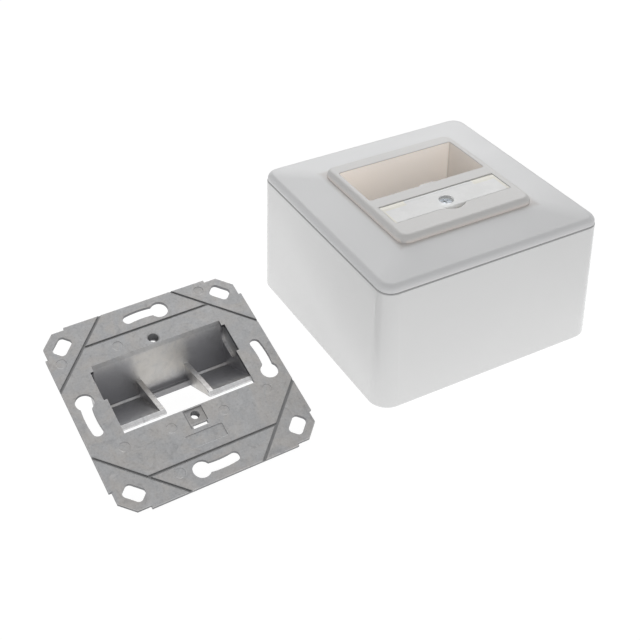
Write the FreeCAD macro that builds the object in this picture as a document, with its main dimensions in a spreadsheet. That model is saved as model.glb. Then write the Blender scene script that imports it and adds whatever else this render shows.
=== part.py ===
import FreeCAD, Part
import os
import re
import Sketcher

# Surface mount jack box for a data outlet, in millimetres, +Z up.
# The origin is the centre of the housing's back, which lies on z = 0. The module carrier lies
# beside the box on the same ground, resting on its front edge and on the underside of its pocket.

# Driving dimensions
SIZES = {
    # Surface housing, measured at its rim
    "HousingWidth": 84.0,
    "HousingHeight": 44.8,
    "HousingDraft": 2.6,
    "HousingCorner": 5.0,
    "HousingWall": 2.5,
    "HousingFloor": 2.5,
    "HousingBaseRound": 0.5,
    "SeamChamfer": 0.25,
    # Screw domes on the circle that flush-mounted carriers use, each with a rib to its wall
    "FixingCircle": 60.0,
    "DomeWidth": 8.0,
    "DomeBore": 3.0,
    "DomeBoreDepth": 20.0,
    "DomeRibWidth": 1.5,
    "DomeRibDrop": 5.0,
    # Thinned cable entries, two in each wall, and the wall screws' holes
    "EntryWidth": 12.0,
    "EntryHeight": 12.0,
    "EntryLift": 1.5,
    "EntryOffset": 13.0,
    "EntrySkin": 1.0,
    "WallHolePitch": 50.0,
    "WallHoleWidth": 4.5,
    "WallHoleHeadWidth": 8.0,
    "WallHoleHeadDepth": 1.0,
    # Cover frame
    "FrameWidth": 83.6,
    "FrameCorner": 4.8,
    "FrameEdge": 2.5,
    "FrameRise": 2.0,
    "FrameLandWidth": 53.4,
    "FrameLandCorner": 4.6,
    "FrameRound": 2.2,
    "FrameHollow": 1.3,
    "FrameSkirtWall": 1.3,
    "FrameSkirtDepth": 4.0,
    "FrameCollarDepth": 3.3,
    "FrameOpening": 50.6,
    "FrameOpeningCorner": 2.0,
    "FitClearance": 0.2,
    # Centre plate
    "PlateWidth": 52.0,
    "PlateCorner": 3.8,
    "PlateRise": 2.4,
    "PlateRound": 1.9,
    "PlateSkin": 2.2,
    "PlateSkirtDepth": 5.0,
    "PlateSkirtWall": 1.4,
    # Module opening with its collar, which reaches down to the carrier
    "OpeningWidth": 46.2,
    "OpeningHeight": 21.1,
    "OpeningRear": 20.1,
    "OpeningCorner": 0.8,
    "CollarWall": 1.4,
    "CollarDepth": 16.0,
    # Label field in front of the bar
    "BarWidth": 5.0,
    "FieldWidth": 45.6,
    "FieldHeight": 11.0,
    "FieldDepth": 1.7,
    "FieldFloor": 2.0,
    "FieldCorner": 0.3,
    "ScoopWidth": 9.0,
    "ScoopReach": 2.0,
    "ScoopDepth": 1.5,
    # Label window, hinged by two pins beside the bar
    "WindowInset": 0.15,
    "WindowClearance": 0.15,
    "WindowThickness": 1.25,
    "WindowBead": 1.5,
    "WindowPinWidth": 0.9,
    "WindowPinLength": 0.9,
    "WindowPinClearance": 0.1,
    "WindowRound": 0.3,
    "TongueWidth": 5.5,
    "TongueThickness": 0.55,
    "TongueReach": 1.2,
    "TongueHook": 0.9,
    "TongueHookRise": 0.35,
    "TongueClearance": 0.35,
    "CardThickness": 0.25,
    "CardMargin": 0.3,
    "CardHole": 6.2,
    # Centre screw, which in use reaches through its tube into the carrier
    "ScrewWidth": 2.9,
    "ScrewClearance": 0.2,
    "ScrewReach": 4.0,
    "ScrewHeadWidth": 5.6,
    "ScrewHeadHeight": 1.5,
    "ScrewHeadRound": 0.5,
    "ScrewHeadPocket": 1.4,
    "ScrewTubeWidth": 7.6,
    "CrossLength": 3.0,
    "CrossWidth": 0.65,
    "CrossDepth": 0.9,
    # Carrier screws, parked in two of the domes
    "FixingWidth": 2.8,
    "FixingLength": 15.0,
    "FixingHeadWidth": 5.4,
    "FixingHeadHeight": 1.8,
    # Module carrier, in its own frame: top face on z = 0, +Y towards its raised edge
    "CarrierWidth": 69.4,
    "CarrierThickness": 1.2,
    "CarrierX": -100.2,
    "CarrierY": -13.65,
    "CarrierTurn": 2.3,
    "CarrierEdgeChamfer": 0.2,
    "TabStart": 25.0,
    "TabStep": 0.9,
    "TabChamfer": 4.5,
    "CornerHolePlace": 28.0,
    "CornerHoleWidth": 4.6,
    "CornerHoleLength": 6.6,
    "CornerHoleRound": 1.4,
    "CornerHoleTurn": 45.0,
    "KeyholeWidth": 3.5,
    "KeyholeHead": 6.0,
    "KeyholeNarrowAngle": 9.0,
    "KeyholeHeadAngle": 12.0,
    "GrooveWidth": 0.7,
    "GrooveDepth": 0.5,
    "GrooveDiagonal": 47.2,
    "GrooveLine": 25.0,
    "BayWidth": 45.2,
    "BayRear": 17.6,
    "BayFront": 8.6,
    "LipFront": 7.0,
    "LipWidth": 1.4,
    "LipThickness": 1.2,
    "LipDepth": 0.5,
    "CreasePlace": 8.9,
    "CreaseDepth": 14.6,
    "PocketWall": 1.8,
    "PocketSideWall": 2.0,
    "PartitionPlace": 8.5,
    "PartitionWall": 1.7,
    "PartitionFrontDrop": 0.4,
    "PartitionRearDrop": 9.4,
    "MiddleStrip": 2.5,
    "NotchFront": 4.6,
    "NotchRear": 15.5,
    "NotchDepth": 6.5,
    "NotchReach": 1.1,
    "NotchRound": 3.0,
    "RearThreadPlace": 20.1,
    "RearThreadBore": 3.3,
    "RearThreadSink": 0.5,
    "RearThreadBossWidth": 6.6,
    "RearThreadBossDepth": 3.6,
    "ScrewPlace": 11.35,
    "ScrewThreadBore": 2.9,
    "ScrewThreadBossWidth": 4.4,
    "ScrewThreadBossDepth": 2.2,
    "LugWidth": 6.0,
    "LugFront": 14.6,
    "LugRear": 9.1,
    "LugDepth": 0.5,
    "LugSlotWidth": 5.0,
    "LugSlotFront": 16.0,
    "NameplateWidth": 12.6,
    "NameplateRear": 17.4,
    "NameplateFront": 22.1,
    "NameplateDepth": 0.25,
    "NameplateCorner": 0.4,
    "EjectorWidth": 3.4,
    "EjectorDepth": 0.12,
}

# Ejector marks on the carrier's top face, as its tool left them
EJECTOR_MARKS = [
    ("-11.9", "21.4"),
    ("21.6", "31.2"),
    ("-30.6", "22.0"),
    ("9.0", "-13.7"),
    ("-8.8", "-12.9"),
    ("-24.4", "-12.9"),
    ("25.1", "-12.3"),
    ("-12.9", "-27.8"),
]

# Levels and places that follow from the driving dimensions
FRAME_SHOULDER = "(HousingHeight + FrameEdge)"
FRAME_LAND = f"({FRAME_SHOULDER} + FrameRise)"
PLATE_TOP = f"({FRAME_LAND} + PlateRise)"
PLATE_CEILING = f"({PLATE_TOP} - PlateSkin)"
COLLAR_FOOT = f"({PLATE_TOP} - CollarDepth)"
DOME_TOP = f"({COLLAR_FOOT} - CarrierThickness)"
BAR_REAR = "(OpeningRear - OpeningHeight)"
FIELD_REAR = f"({BAR_REAR} - BarWidth)"
FIELD_FRONT = f"({FIELD_REAR} - FieldHeight)"
FIELD_LEVEL = f"({PLATE_TOP} - FieldDepth)"
SCREW_SEAT = f"({FIELD_LEVEL} - ScrewHeadPocket)"
HINGE_Y = f"({FIELD_REAR} - WindowClearance - WindowBead / 2)"
WINDOW_TOP = f"({PLATE_TOP} - WindowInset)"
WINDOW_UNDER = f"({WINDOW_TOP} - WindowThickness)"
HINGE_Z = f"({WINDOW_TOP} - WindowBead / 2)"
WINDOW_WIDTH = "(FieldWidth - 2 * WindowClearance)"
TONGUE_TOP = f"({WINDOW_UNDER} + TongueThickness)"
TONGUE_TIP = f"({BAR_REAR} + TongueReach)"
CARRIER_HALF = "(CarrierWidth / 2)"
BACK_SLOPE = "atan(CreaseDepth / (BayRear - CreasePlace))"
LIP_REAR = "(LipWidth - LipFront)"
FLOOR_SLOPE = f"atan((CreaseDepth - LipDepth) / (CreasePlace - {LIP_REAR}))"
CREASE_SHARE = f"(PocketWall / (1 + cos({BACK_SLOPE} + {FLOOR_SLOPE})))"
KEEL_Y = f"(CreasePlace + {CREASE_SHARE} * (sin({BACK_SLOPE}) - sin({FLOOR_SLOPE})))"
KEEL_DEPTH = f"(CreaseDepth + {CREASE_SHARE} * (cos({BACK_SLOPE}) + cos({FLOOR_SLOPE})))"
CARRIER_TILT = f"atan(({KEEL_DEPTH} - CarrierThickness) / ({KEEL_Y} + {CARRIER_HALF}))"
CARRIER_REST = f"({CARRIER_HALF} * sin({CARRIER_TILT}) + CarrierThickness * cos({CARRIER_TILT}))"

LEVEL_TOLERANCE = 1e-4
CUT_OVERRUN = "1"

document = FreeCAD.newDocument("jack_box")
sheet = document.addObject("Spreadsheet::Sheet", "Sizes")
for row, (name, size) in enumerate(SIZES.items(), 1):
    sheet.set(f"A{row}", name)
    sheet.set(f"B{row}", str(size))
    sheet.setAlias(f"B{row}", name)
document.recompute()


# Reading and binding the sheet
def spelled(text):
    """Turn the plain names in an expression into the sheet's aliases."""
    return re.sub(r"\b([A-Z][A-Za-z]+)\b", r"Sizes.\1", text)


def number(text):
    """Work out an expression over the sheet."""
    value = sheet.evalExpression(spelled(text))
    return float(getattr(value, "Value", value))


def bind(feature, path, text):
    """Tie a property of a feature to an expression over the sheet."""
    feature.setExpression(path, spelled(text))


# Sketches
def new_body(name):
    body = document.addObject("PartDesign::Body", name)
    body.Label = name
    return body


def origin_part(body, role):
    return next(item for item in body.Origin.OriginFeatures if item.Role == role)


def new_sketch(body, name, level="0", plane="XY_Plane", turn=0.0):
    """Put a sketch on one of the body's origin planes, raised to a level and turned in it."""
    sketch = body.newObject("Sketcher::SketchObject", name)
    sketch.AttachmentSupport = [(origin_part(body, plane), "")]
    sketch.MapMode = "FlatFace"
    turned = FreeCAD.Rotation(FreeCAD.Vector(0, 0, 1), turn)
    sketch.AttachmentOffset = FreeCAD.Placement(FreeCAD.Vector(), turned)
    bind(sketch, "AttachmentOffset.Base.z", level)
    return sketch


def hold(sketch, kind, *where, size):
    """Add a dimension to a sketch and tie it to the sheet."""
    index = sketch.addConstraint(Sketcher.Constraint(kind, *where, number(size)))
    bind(sketch, f"Constraints[{index}]", size)


def join(sketch, kind, *where):
    sketch.addConstraint(Sketcher.Constraint(kind, *where))


def pin(sketch, geometry, end, x, y):
    """Hold a point of a sketch at x, y from the sketch's origin."""
    hold(sketch, "DistanceX", -1, 1, geometry, end, size=x)
    hold(sketch, "DistanceY", -1, 1, geometry, end, size=y)


def draw_polygon(sketch, corners):
    """Draw a closed outline whose corners are pairs of expressions."""
    points = [FreeCAD.Vector(number(x), number(y), 0) for x, y in corners]
    first = sketch.GeometryCount
    for start, end in zip(points, points[1:] + points[:1]):
        sketch.addGeometry(Part.LineSegment(start, end))
    for index, (x, y) in enumerate(corners):
        before = (index - 1) % len(corners)
        join(sketch, "Coincident", first + before, 2, first + index, 1)
        pin(sketch, first + index, 1, x, y)


def draw_box(sketch, left, right, low, high):
    """Draw an upright rectangle between four expressions."""
    draw_polygon(sketch, [(left, low), (right, low), (right, high), (left, high)])


def draw_circle(sketch, x, y, width):
    centre = FreeCAD.Vector(number(x), number(y), 0)
    circle = sketch.addGeometry(Part.Circle(centre, FreeCAD.Vector(0, 0, 1), number(width) / 2))
    pin(sketch, circle, 3, x, y)
    hold(sketch, "Diameter", circle, size=width)


def draw_rounded(sketch, width, height, radius, x="0", y="0"):
    """Draw a rectangle about x, y with rounded corners: arc, side, arc, side, and so on."""
    quarter = FreeCAD.Units.Quantity("90 deg").getValueAs("rad").Value
    corners = []
    for step, (right, up) in enumerate(((1, 1), (-1, 1), (-1, -1), (1, -1))):
        corner_x = f"({x} + {right} * (({width}) / 2 - {radius}))"
        corner_y = f"({y} + {up} * (({height}) / 2 - {radius}))"
        corners.append((corner_x, corner_y))
        centre = FreeCAD.Vector(number(corner_x), number(corner_y), 0)
        round_corner = Part.Circle(centre, FreeCAD.Vector(0, 0, 1), number(radius))
        arc = Part.ArcOfCircle(round_corner, step * quarter, (step + 1) * quarter)
        sketch.addGeometry(arc)
    for step in range(4):
        start = sketch.Geometry[step].EndPoint
        end = sketch.Geometry[(step + 1) % 4].StartPoint
        sketch.addGeometry(Part.LineSegment(start, end))
    for step, (corner_x, corner_y) in enumerate(corners):
        side = 4 + step
        join(sketch, "Tangent", step, 2, side, 1)
        join(sketch, "Tangent", side, 2, (step + 1) % 4, 1)
        pin(sketch, step, 3, corner_x, corner_y)
        hold(sketch, "Radius", step, size=radius)


def draw_arc_slot(sketch, radius, width, first_angle, last_angle):
    """Draw a slot along an arc about the origin: outer arc, end, inner arc, end."""
    axis = FreeCAD.Vector(0, 0, 1)
    centre = FreeCAD.Vector()
    low = FreeCAD.Units.Quantity(f"{number(first_angle)} deg").getValueAs("rad").Value
    high = FreeCAD.Units.Quantity(f"{number(last_angle)} deg").getValueAs("rad").Value
    half_turn = FreeCAD.Units.Quantity("180 deg").getValueAs("rad").Value
    outer_size = f"{radius} + {width} / 2"
    inner_size = f"{radius} - {width} / 2"
    ends = []
    for angle in (last_angle, first_angle):
        ends.append((f"{radius} * cos({angle})", f"{radius} * sin({angle})"))
    caps = [FreeCAD.Vector(number(x), number(y), 0) for x, y in ends]
    start_cap, end_cap = caps[1], caps[0]
    cap_radius = number(width) / 2
    outer_circle = Part.Circle(centre, axis, number(outer_size))
    inner_circle = Part.Circle(centre, axis, number(inner_size))
    far_circle = Part.Circle(end_cap, axis, cap_radius)
    near_circle = Part.Circle(start_cap, axis, cap_radius)
    outer = sketch.addGeometry(Part.ArcOfCircle(outer_circle, low, high))
    far = sketch.addGeometry(Part.ArcOfCircle(far_circle, high, high + half_turn))
    inner = sketch.addGeometry(Part.ArcOfCircle(inner_circle, low, high))
    near = sketch.addGeometry(Part.ArcOfCircle(near_circle, low + half_turn, low + 2 * half_turn))
    for arc, size in ((outer, outer_size), (inner, inner_size)):
        join(sketch, "Coincident", arc, 3, -1, 1)
        hold(sketch, "Radius", arc, size=size)
    join(sketch, "Tangent", outer, 2, far, 1)
    join(sketch, "Tangent", far, 2, inner, 2)
    join(sketch, "Tangent", inner, 1, near, 1)
    join(sketch, "Tangent", near, 2, outer, 1)
    hold(sketch, "DistanceY", -1, 1, far, 3, size=ends[0][1])
    hold(sketch, "DistanceY", -1, 1, near, 3, size=ends[1][1])


# Features
def shape_from(body, kind, name, sketch, length, reverse=False, taper=None, both_sides=False):
    """Make a pad or pocket from a sketch, with its length and taper tied to the sheet."""
    feature = body.newObject(kind, name)
    feature.Profile = sketch
    bind(feature, "Length", length)
    feature.Reversed = reverse
    if both_sides:
        feature.SideType = "Symmetric"
    if taper:
        bind(feature, "TaperAngle", taper)
    sketch.Visibility = False
    return feature


def add_pad(body, name, sketch, length, **options):
    return shape_from(body, "PartDesign::Pad", name, sketch, length, **options)


def add_pocket(body, name, sketch, length, **options):
    return shape_from(body, "PartDesign::Pocket", name, sketch, length, **options)


def repeat_round(body, name, features, count=4):
    """Repeat features evenly about the body's Z axis."""
    pattern = body.newObject("PartDesign::PolarPattern", name)
    pattern.Originals = features
    pattern.Axis = (origin_part(body, "Z_Axis"), [""])
    pattern.Angle = 360
    pattern.Occurrences = count
    body.Tip = pattern
    return pattern


def mirror(body, name, features, plane):
    mirrored = body.newObject("PartDesign::Mirrored", name)
    mirrored.Originals = features
    mirrored.MirrorPlane = (origin_part(body, plane), [""])
    body.Tip = mirrored
    return mirrored


def find_edges(feature, accept):
    """Names of the edges of a finished feature that a test accepts."""
    document.recompute()
    return [f"Edge{index}" for index, edge in enumerate(feature.Shape.Edges, 1) if accept(edge)]


def on_level(edge, level):
    box = edge.BoundBox
    return abs(box.ZMin - level) < LEVEL_TOLERANCE and abs(box.ZMax - level) < LEVEL_TOLERANCE


def dress_edges(body, kind, name, feature, names, path, size):
    dressed = body.newObject(kind, name)
    dressed.Base = (feature, names)
    bind(dressed, path, size)
    return dressed


def add_fillet(body, name, feature, names, radius):
    return dress_edges(body, "PartDesign::Fillet", name, feature, names, "Radius", radius)


def add_chamfer(body, name, feature, names, size):
    return dress_edges(body, "PartDesign::Chamfer", name, feature, names, "Size", size)


# Surface housing: drafted walls that widen towards the back, one moulding
def build_surface_housing():
    body = new_body("surface_housing")
    rim = new_sketch(body, "housing_rim", "HousingHeight")
    draw_rounded(rim, "HousingWidth", "HousingWidth", "HousingCorner")
    block = add_pad(body, "housing_block", rim, "HousingHeight", reverse=True, taper="HousingDraft")
    base_edges = find_edges(block, lambda edge: on_level(edge, 0))
    based = add_fillet(body, "housing_base_round", block, base_edges, "HousingBaseRound")
    rim_level = number("HousingHeight")
    rim_edges = find_edges(based, lambda edge: on_level(edge, rim_level))
    add_chamfer(body, "housing_seam", based, rim_edges, "SeamChamfer")

    inner_width = "HousingWidth - 2 * HousingWall"
    inner = new_sketch(body, "housing_inner", "HousingHeight")
    draw_rounded(inner, inner_width, inner_width, "(HousingCorner - HousingWall)")
    hollow_depth = "HousingHeight - HousingFloor"
    add_pocket(body, "housing_hollow", inner, hollow_depth, taper="HousingDraft")

    dome_sketch = new_sketch(body, "dome_outline", "HousingFloor")
    draw_circle(dome_sketch, "FixingCircle / 2", "0", "DomeWidth")
    dome = add_pad(body, "dome", dome_sketch, f"{DOME_TOP} - HousingFloor")
    rib_sketch = new_sketch(body, "dome_rib_outline", "HousingFloor")
    draw_box(rib_sketch, "FixingCircle / 2", "HousingWidth / 2", "-DomeRibWidth / 2", "DomeRibWidth / 2")
    rib = add_pad(body, "dome_rib", rib_sketch, f"{DOME_TOP} - HousingFloor - DomeRibDrop")
    repeat_round(body, "domes", [dome, rib])
    bore_sketch = new_sketch(body, "dome_bore_outline", DOME_TOP)
    draw_circle(bore_sketch, "FixingCircle / 2", "0", "DomeBore")
    bore = add_pocket(body, "dome_bore", bore_sketch, "DomeBoreDepth")
    repeat_round(body, "dome_bores", [bore])

    # The recess stops short of the outer face at the entry's upper edge, where the wall is nearest
    entry_top = "(HousingFloor + EntryLift + EntryHeight)"
    entry_face = f"(HousingWidth / 2 + (HousingHeight - {entry_top}) * tan(HousingDraft) - EntrySkin)"
    entry_start = "(HousingWidth / 2 - 2 * HousingWall)"
    entry_sketch = new_sketch(body, "entry_outline", entry_start, "YZ_Plane")
    for side in (-1, 1):
        left = f"{side} * EntryOffset - EntryWidth / 2"
        right = f"{side} * EntryOffset + EntryWidth / 2"
        draw_box(entry_sketch, left, right, "HousingFloor + EntryLift", entry_top)
    entries = add_pocket(body, "entry", entry_sketch, f"{entry_face} - {entry_start}", reverse=True)
    repeat_round(body, "entries", [entries])

    for name, width, level, depth in (
        ("wall_hole", "WallHoleWidth", "HousingFloor", "HousingFloor"),
        ("wall_hole_head", "WallHoleHeadWidth", "HousingFloor", "WallHoleHeadDepth"),
    ):
        hole_sketch = new_sketch(body, f"{name}_outline", level)
        draw_circle(hole_sketch, "WallHolePitch / 2", "WallHolePitch / 2", width)
        hole = add_pocket(body, name, hole_sketch, depth)
        repeat_round(body, f"{name}s", [hole])
    return body


# Cover frame: low rounded lid with a square opening and a skirt inside the housing's walls
def build_cover_frame():
    body = new_body("cover_frame")
    edge_sketch = new_sketch(body, "frame_edge_outline", "HousingHeight")
    draw_rounded(edge_sketch, "FrameWidth", "FrameWidth", "FrameCorner")
    add_pad(body, "frame_edge", edge_sketch, "FrameEdge")
    shoulder = new_sketch(body, "frame_shoulder", FRAME_SHOULDER)
    draw_rounded(shoulder, "FrameWidth", "FrameWidth", "FrameCorner")
    land = new_sketch(body, "frame_land", FRAME_LAND)
    draw_rounded(land, "FrameLandWidth", "FrameLandWidth", "FrameLandCorner")
    slope = body.newObject("PartDesign::AdditiveLoft", "frame_slope")
    slope.Profile = shoulder
    slope.Sections = [land]
    slope.Ruled = True
    shoulder_level = number(FRAME_SHOULDER)
    shoulder_edges = find_edges(slope, lambda edge: on_level(edge, shoulder_level))
    rounded = add_fillet(body, "frame_round", slope, shoulder_edges, "FrameRound")
    rim_level = number("HousingHeight")
    rim_edges = find_edges(rounded, lambda edge: on_level(edge, rim_level))
    add_chamfer(body, "frame_seam", rounded, rim_edges, "SeamChamfer")

    skirt_width = "(HousingWidth - 2 * HousingWall - 2 * FitClearance)"
    skirt_corner = "(HousingCorner - HousingWall - FitClearance)"
    inner_width = f"({skirt_width} - 2 * FrameSkirtWall)"
    inner_corner = f"({skirt_corner} - FrameSkirtWall)"
    skirt = new_sketch(body, "frame_skirt_outline", "HousingHeight")
    draw_rounded(skirt, skirt_width, skirt_width, skirt_corner)
    add_pad(body, "frame_skirt", skirt, "FrameSkirtDepth", reverse=True)
    hollow = new_sketch(body, "frame_hollow_outline", "HousingHeight - FrameSkirtDepth")
    draw_rounded(hollow, inner_width, inner_width, inner_corner)
    add_pocket(body, "frame_hollow", hollow, "FrameSkirtDepth + FrameHollow", reverse=True)

    collar_width = "FrameOpening + 2 * FrameSkirtWall"
    collar = new_sketch(body, "frame_collar_outline", "HousingHeight + FrameHollow")
    draw_rounded(collar, collar_width, collar_width, "(FrameOpeningCorner + FrameSkirtWall)")
    add_pad(body, "frame_collar", collar, "FrameCollarDepth", reverse=True)
    opening = new_sketch(body, "frame_opening_outline", FRAME_LAND)
    draw_rounded(opening, "FrameOpening", "FrameOpening", "FrameOpeningCorner")
    add_pocket(body, "frame_opening", opening, f"{FRAME_LAND} - HousingHeight + FrameSkirtDepth")
    return body


# Centre plate: raised square with the module opening, the bar and the label field
def build_centre_plate():
    body = new_body("centre_plate")
    bezel = new_sketch(body, "plate_outline", FRAME_LAND)
    draw_rounded(bezel, "PlateWidth", "PlateWidth", "PlateCorner")
    raised = add_pad(body, "plate_bezel", bezel, "PlateRise")
    top_level = number(PLATE_TOP)
    top_edges = find_edges(raised, lambda edge: on_level(edge, top_level))
    add_fillet(body, "plate_round", raised, top_edges, "PlateRound")

    skirt_width = "(FrameOpening - 2 * FitClearance)"
    skirt_corner = "(FrameOpeningCorner - FitClearance)"
    skirt = new_sketch(body, "plate_skirt_outline", FRAME_LAND)
    draw_rounded(skirt, skirt_width, skirt_width, skirt_corner)
    add_pad(body, "plate_skirt", skirt, "PlateSkirtDepth", reverse=True)
    hollow_width = f"({skirt_width} - 2 * PlateSkirtWall)"
    hollow_corner = f"({skirt_corner} - PlateSkirtWall)"
    hollow = new_sketch(body, "plate_hollow_outline", f"{FRAME_LAND} - PlateSkirtDepth")
    draw_rounded(hollow, hollow_width, hollow_width, hollow_corner)
    hollow_depth = f"{PLATE_CEILING} - {FRAME_LAND} + PlateSkirtDepth"
    add_pocket(body, "plate_hollow", hollow, hollow_depth, reverse=True)

    opening_y = "(OpeningRear - OpeningHeight / 2)"
    collar = new_sketch(body, "collar_outline", COLLAR_FOOT)
    collar_width = "OpeningWidth + 2 * CollarWall"
    collar_height = "OpeningHeight + 2 * CollarWall"
    draw_rounded(collar, collar_width, collar_height, "(OpeningCorner + CollarWall)", y=opening_y)
    add_pad(body, "collar", collar, f"{PLATE_CEILING} - {COLLAR_FOOT}")
    opening = new_sketch(body, "opening_outline", PLATE_TOP)
    draw_rounded(opening, "OpeningWidth", "OpeningHeight", "OpeningCorner", y=opening_y)
    add_pocket(body, "module_opening", opening, "CollarDepth")

    tray = new_sketch(body, "field_tray_outline", f"{FIELD_LEVEL} - FieldFloor")
    tray_front = f"{FIELD_FRONT} - CollarWall"
    half_tray = "FieldWidth / 2 + CollarWall"
    draw_box(tray, f"-({half_tray})", half_tray, tray_front, f"{BAR_REAR} - CollarWall")
    add_pad(body, "field_tray", tray, f"{PLATE_CEILING} - {FIELD_LEVEL} + FieldFloor")
    tube = new_sketch(body, "screw_tube_outline", COLLAR_FOOT)
    draw_circle(tube, "0", "-ScrewPlace", "ScrewTubeWidth")
    add_pad(body, "screw_tube", tube, f"{FIELD_LEVEL} - {COLLAR_FOOT}")

    field_y = f"({FIELD_REAR} - FieldHeight / 2)"
    field = new_sketch(body, "field_outline", PLATE_TOP)
    draw_rounded(field, "FieldWidth", "FieldHeight", "FieldCorner", y=field_y)
    add_pocket(body, "label_field", field, "FieldDepth")
    # The scoop is a segment of a circle that has the given width at the field's edge
    scoop_radius = "((ScoopWidth * ScoopWidth / 4 + ScoopReach * ScoopReach) / (2 * ScoopReach))"
    scoop = new_sketch(body, "scoop_outline", PLATE_TOP)
    scoop_y = f"{FIELD_FRONT} - ScoopReach + {scoop_radius}"
    draw_circle(scoop, "0", scoop_y, f"2 * {scoop_radius}")
    add_pocket(body, "scoop", scoop, "ScoopDepth")

    head_pocket = new_sketch(body, "head_pocket_outline", FIELD_LEVEL)
    draw_circle(head_pocket, "0", "-ScrewPlace", "ScrewHeadWidth + 2 * ScrewClearance")
    add_pocket(body, "head_pocket", head_pocket, "ScrewHeadPocket")
    screw_hole = new_sketch(body, "screw_hole_outline", FIELD_LEVEL)
    draw_circle(screw_hole, "0", "-ScrewPlace", "ScrewWidth + 2 * ScrewClearance")
    add_pocket(body, "screw_hole", screw_hole, f"{FIELD_LEVEL} - {COLLAR_FOOT}")

    # Space for the window's tongue, which swings down behind and under the bar
    channel_top = f"{TONGUE_TOP} + WindowPinClearance"
    swing = f"({TONGUE_TIP} - {HINGE_Y} + TongueClearance)"
    channel = new_sketch(body, "tongue_channel_outline", "0", "YZ_Plane")
    channel_front = f"{HINGE_Y} - WindowBead / 2 - TongueClearance"
    draw_box(channel, channel_front, BAR_REAR, f"{HINGE_Z} - {swing}", channel_top)
    channel_width = "TongueWidth + 2 * TongueClearance"
    add_pocket(body, "tongue_channel", channel, channel_width, both_sides=True)
    bores = new_sketch(body, "pin_bores_outline", "0", "YZ_Plane")
    draw_circle(bores, HINGE_Y, HINGE_Z, "WindowPinWidth + 2 * WindowPinClearance")
    bore_length = f"{WINDOW_WIDTH} + 2 * WindowPinLength + 4 * WindowPinClearance"
    add_pocket(body, "pin_bores", bores, bore_length, both_sides=True)
    return body


# Label window: clear plate with a bead and pins along its rear edge and a tongue under the bar
def build_label_window():
    body = new_body("label_window")
    pane = new_sketch(body, "pane_outline", WINDOW_UNDER)
    half = f"{WINDOW_WIDTH} / 2"
    draw_box(pane, f"-{half}", half, f"{FIELD_FRONT} + WindowClearance", HINGE_Y)
    plate = add_pad(body, "pane", pane, "WindowThickness")
    front = number(f"{FIELD_FRONT} + WindowClearance")
    upper = number(WINDOW_TOP)

    def is_front_edge(edge):
        return on_level(edge, upper) and abs(edge.BoundBox.YMax - front) < LEVEL_TOLERANCE

    front_edges = find_edges(plate, is_front_edge)
    add_fillet(body, "pane_front_round", plate, front_edges, "WindowRound")
    bead = new_sketch(body, "bead_outline", "0", "YZ_Plane")
    draw_circle(bead, HINGE_Y, HINGE_Z, "WindowBead")
    add_pad(body, "bead", bead, WINDOW_WIDTH, both_sides=True)
    pins = new_sketch(body, "pins_outline", "0", "YZ_Plane")
    draw_circle(pins, HINGE_Y, HINGE_Z, "WindowPinWidth")
    add_pad(body, "pins", pins, f"{WINDOW_WIDTH} + 2 * WindowPinLength", both_sides=True)
    tongue = new_sketch(body, "tongue_outline", "0", "YZ_Plane")
    hook_start = f"{TONGUE_TIP} - TongueHook"
    hook_top = f"{TONGUE_TOP} + TongueHookRise"
    draw_polygon(tongue, [
        (HINGE_Y, WINDOW_UNDER),
        (TONGUE_TIP, WINDOW_UNDER),
        (TONGUE_TIP, hook_top),
        (hook_start, hook_top),
        (hook_start, TONGUE_TOP),
        (HINGE_Y, TONGUE_TOP),
    ])
    add_pad(body, "tongue", tongue, "TongueWidth", both_sides=True)
    return body


# Label card on the field's floor, under the window, cut round the screw's head
def build_label_card():
    body = new_body("label_card")
    outline = new_sketch(body, "card_outline", FIELD_LEVEL)
    half = f"({WINDOW_WIDTH} / 2 - CardMargin)"
    card_rear = f"{HINGE_Y} - WindowBead / 2 - CardMargin"
    draw_box(outline, f"-{half}", half, f"{FIELD_FRONT} + CardMargin", card_rear)
    draw_circle(outline, "0", "-ScrewPlace", "CardHole")
    add_pad(body, "card", outline, "CardThickness")
    return body


# Screws: head above z = 0 of the screw's own frame, shank below, cross recess in the head
def build_screw(name, width, length, head_width, head_height):
    body = new_body(name)
    profile = new_sketch(body, f"{name}_profile", "0", "XZ_Plane")
    draw_polygon(profile, [
        ("0", head_height),
        (f"{head_width} / 2", head_height),
        (f"{head_width} / 2", "0"),
        (f"{width} / 2", "0"),
        (f"{width} / 2", f"-({length}) + {width} / 4"),
        (f"{width} / 4", f"-({length})"),
        ("0", f"-({length})"),
    ])
    turned = body.newObject("PartDesign::Revolution", f"{name}_turned")
    turned.Profile = profile
    turned.ReferenceAxis = (profile, ["V_Axis"])
    turned.Angle = 360
    head_level = number(head_height)
    head_edges = find_edges(turned, lambda edge: on_level(edge, head_level))
    add_fillet(body, f"{name}_crown", turned, head_edges, "ScrewHeadRound")
    cross = new_sketch(body, f"{name}_cross", head_height)
    arm, side = "CrossLength / 2", "CrossWidth / 2"
    draw_polygon(cross, [
        (arm, f"-{side}"), (arm, side), (side, side), (side, arm),
        (f"-{side}", arm), (f"-{side}", side), (f"-{arm}", side), (f"-{arm}", f"-{side}"),
        (f"-{side}", f"-{side}"), (f"-{side}", f"-{arm}"), (side, f"-{arm}"), (side, f"-{side}"),
    ])
    add_pocket(body, f"{name}_recess", cross, "CrossDepth")
    return body


def build_cover_screw():
    reach_down = f"({SCREW_SEAT} - {COLLAR_FOOT} + ScrewReach)"
    body = build_screw("cover_screw", "ScrewWidth", reach_down, "ScrewHeadWidth", "ScrewHeadHeight")
    bind(body, "Placement.Base.y", "-ScrewPlace")
    bind(body, "Placement.Base.z", SCREW_SEAT)
    return body


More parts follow.
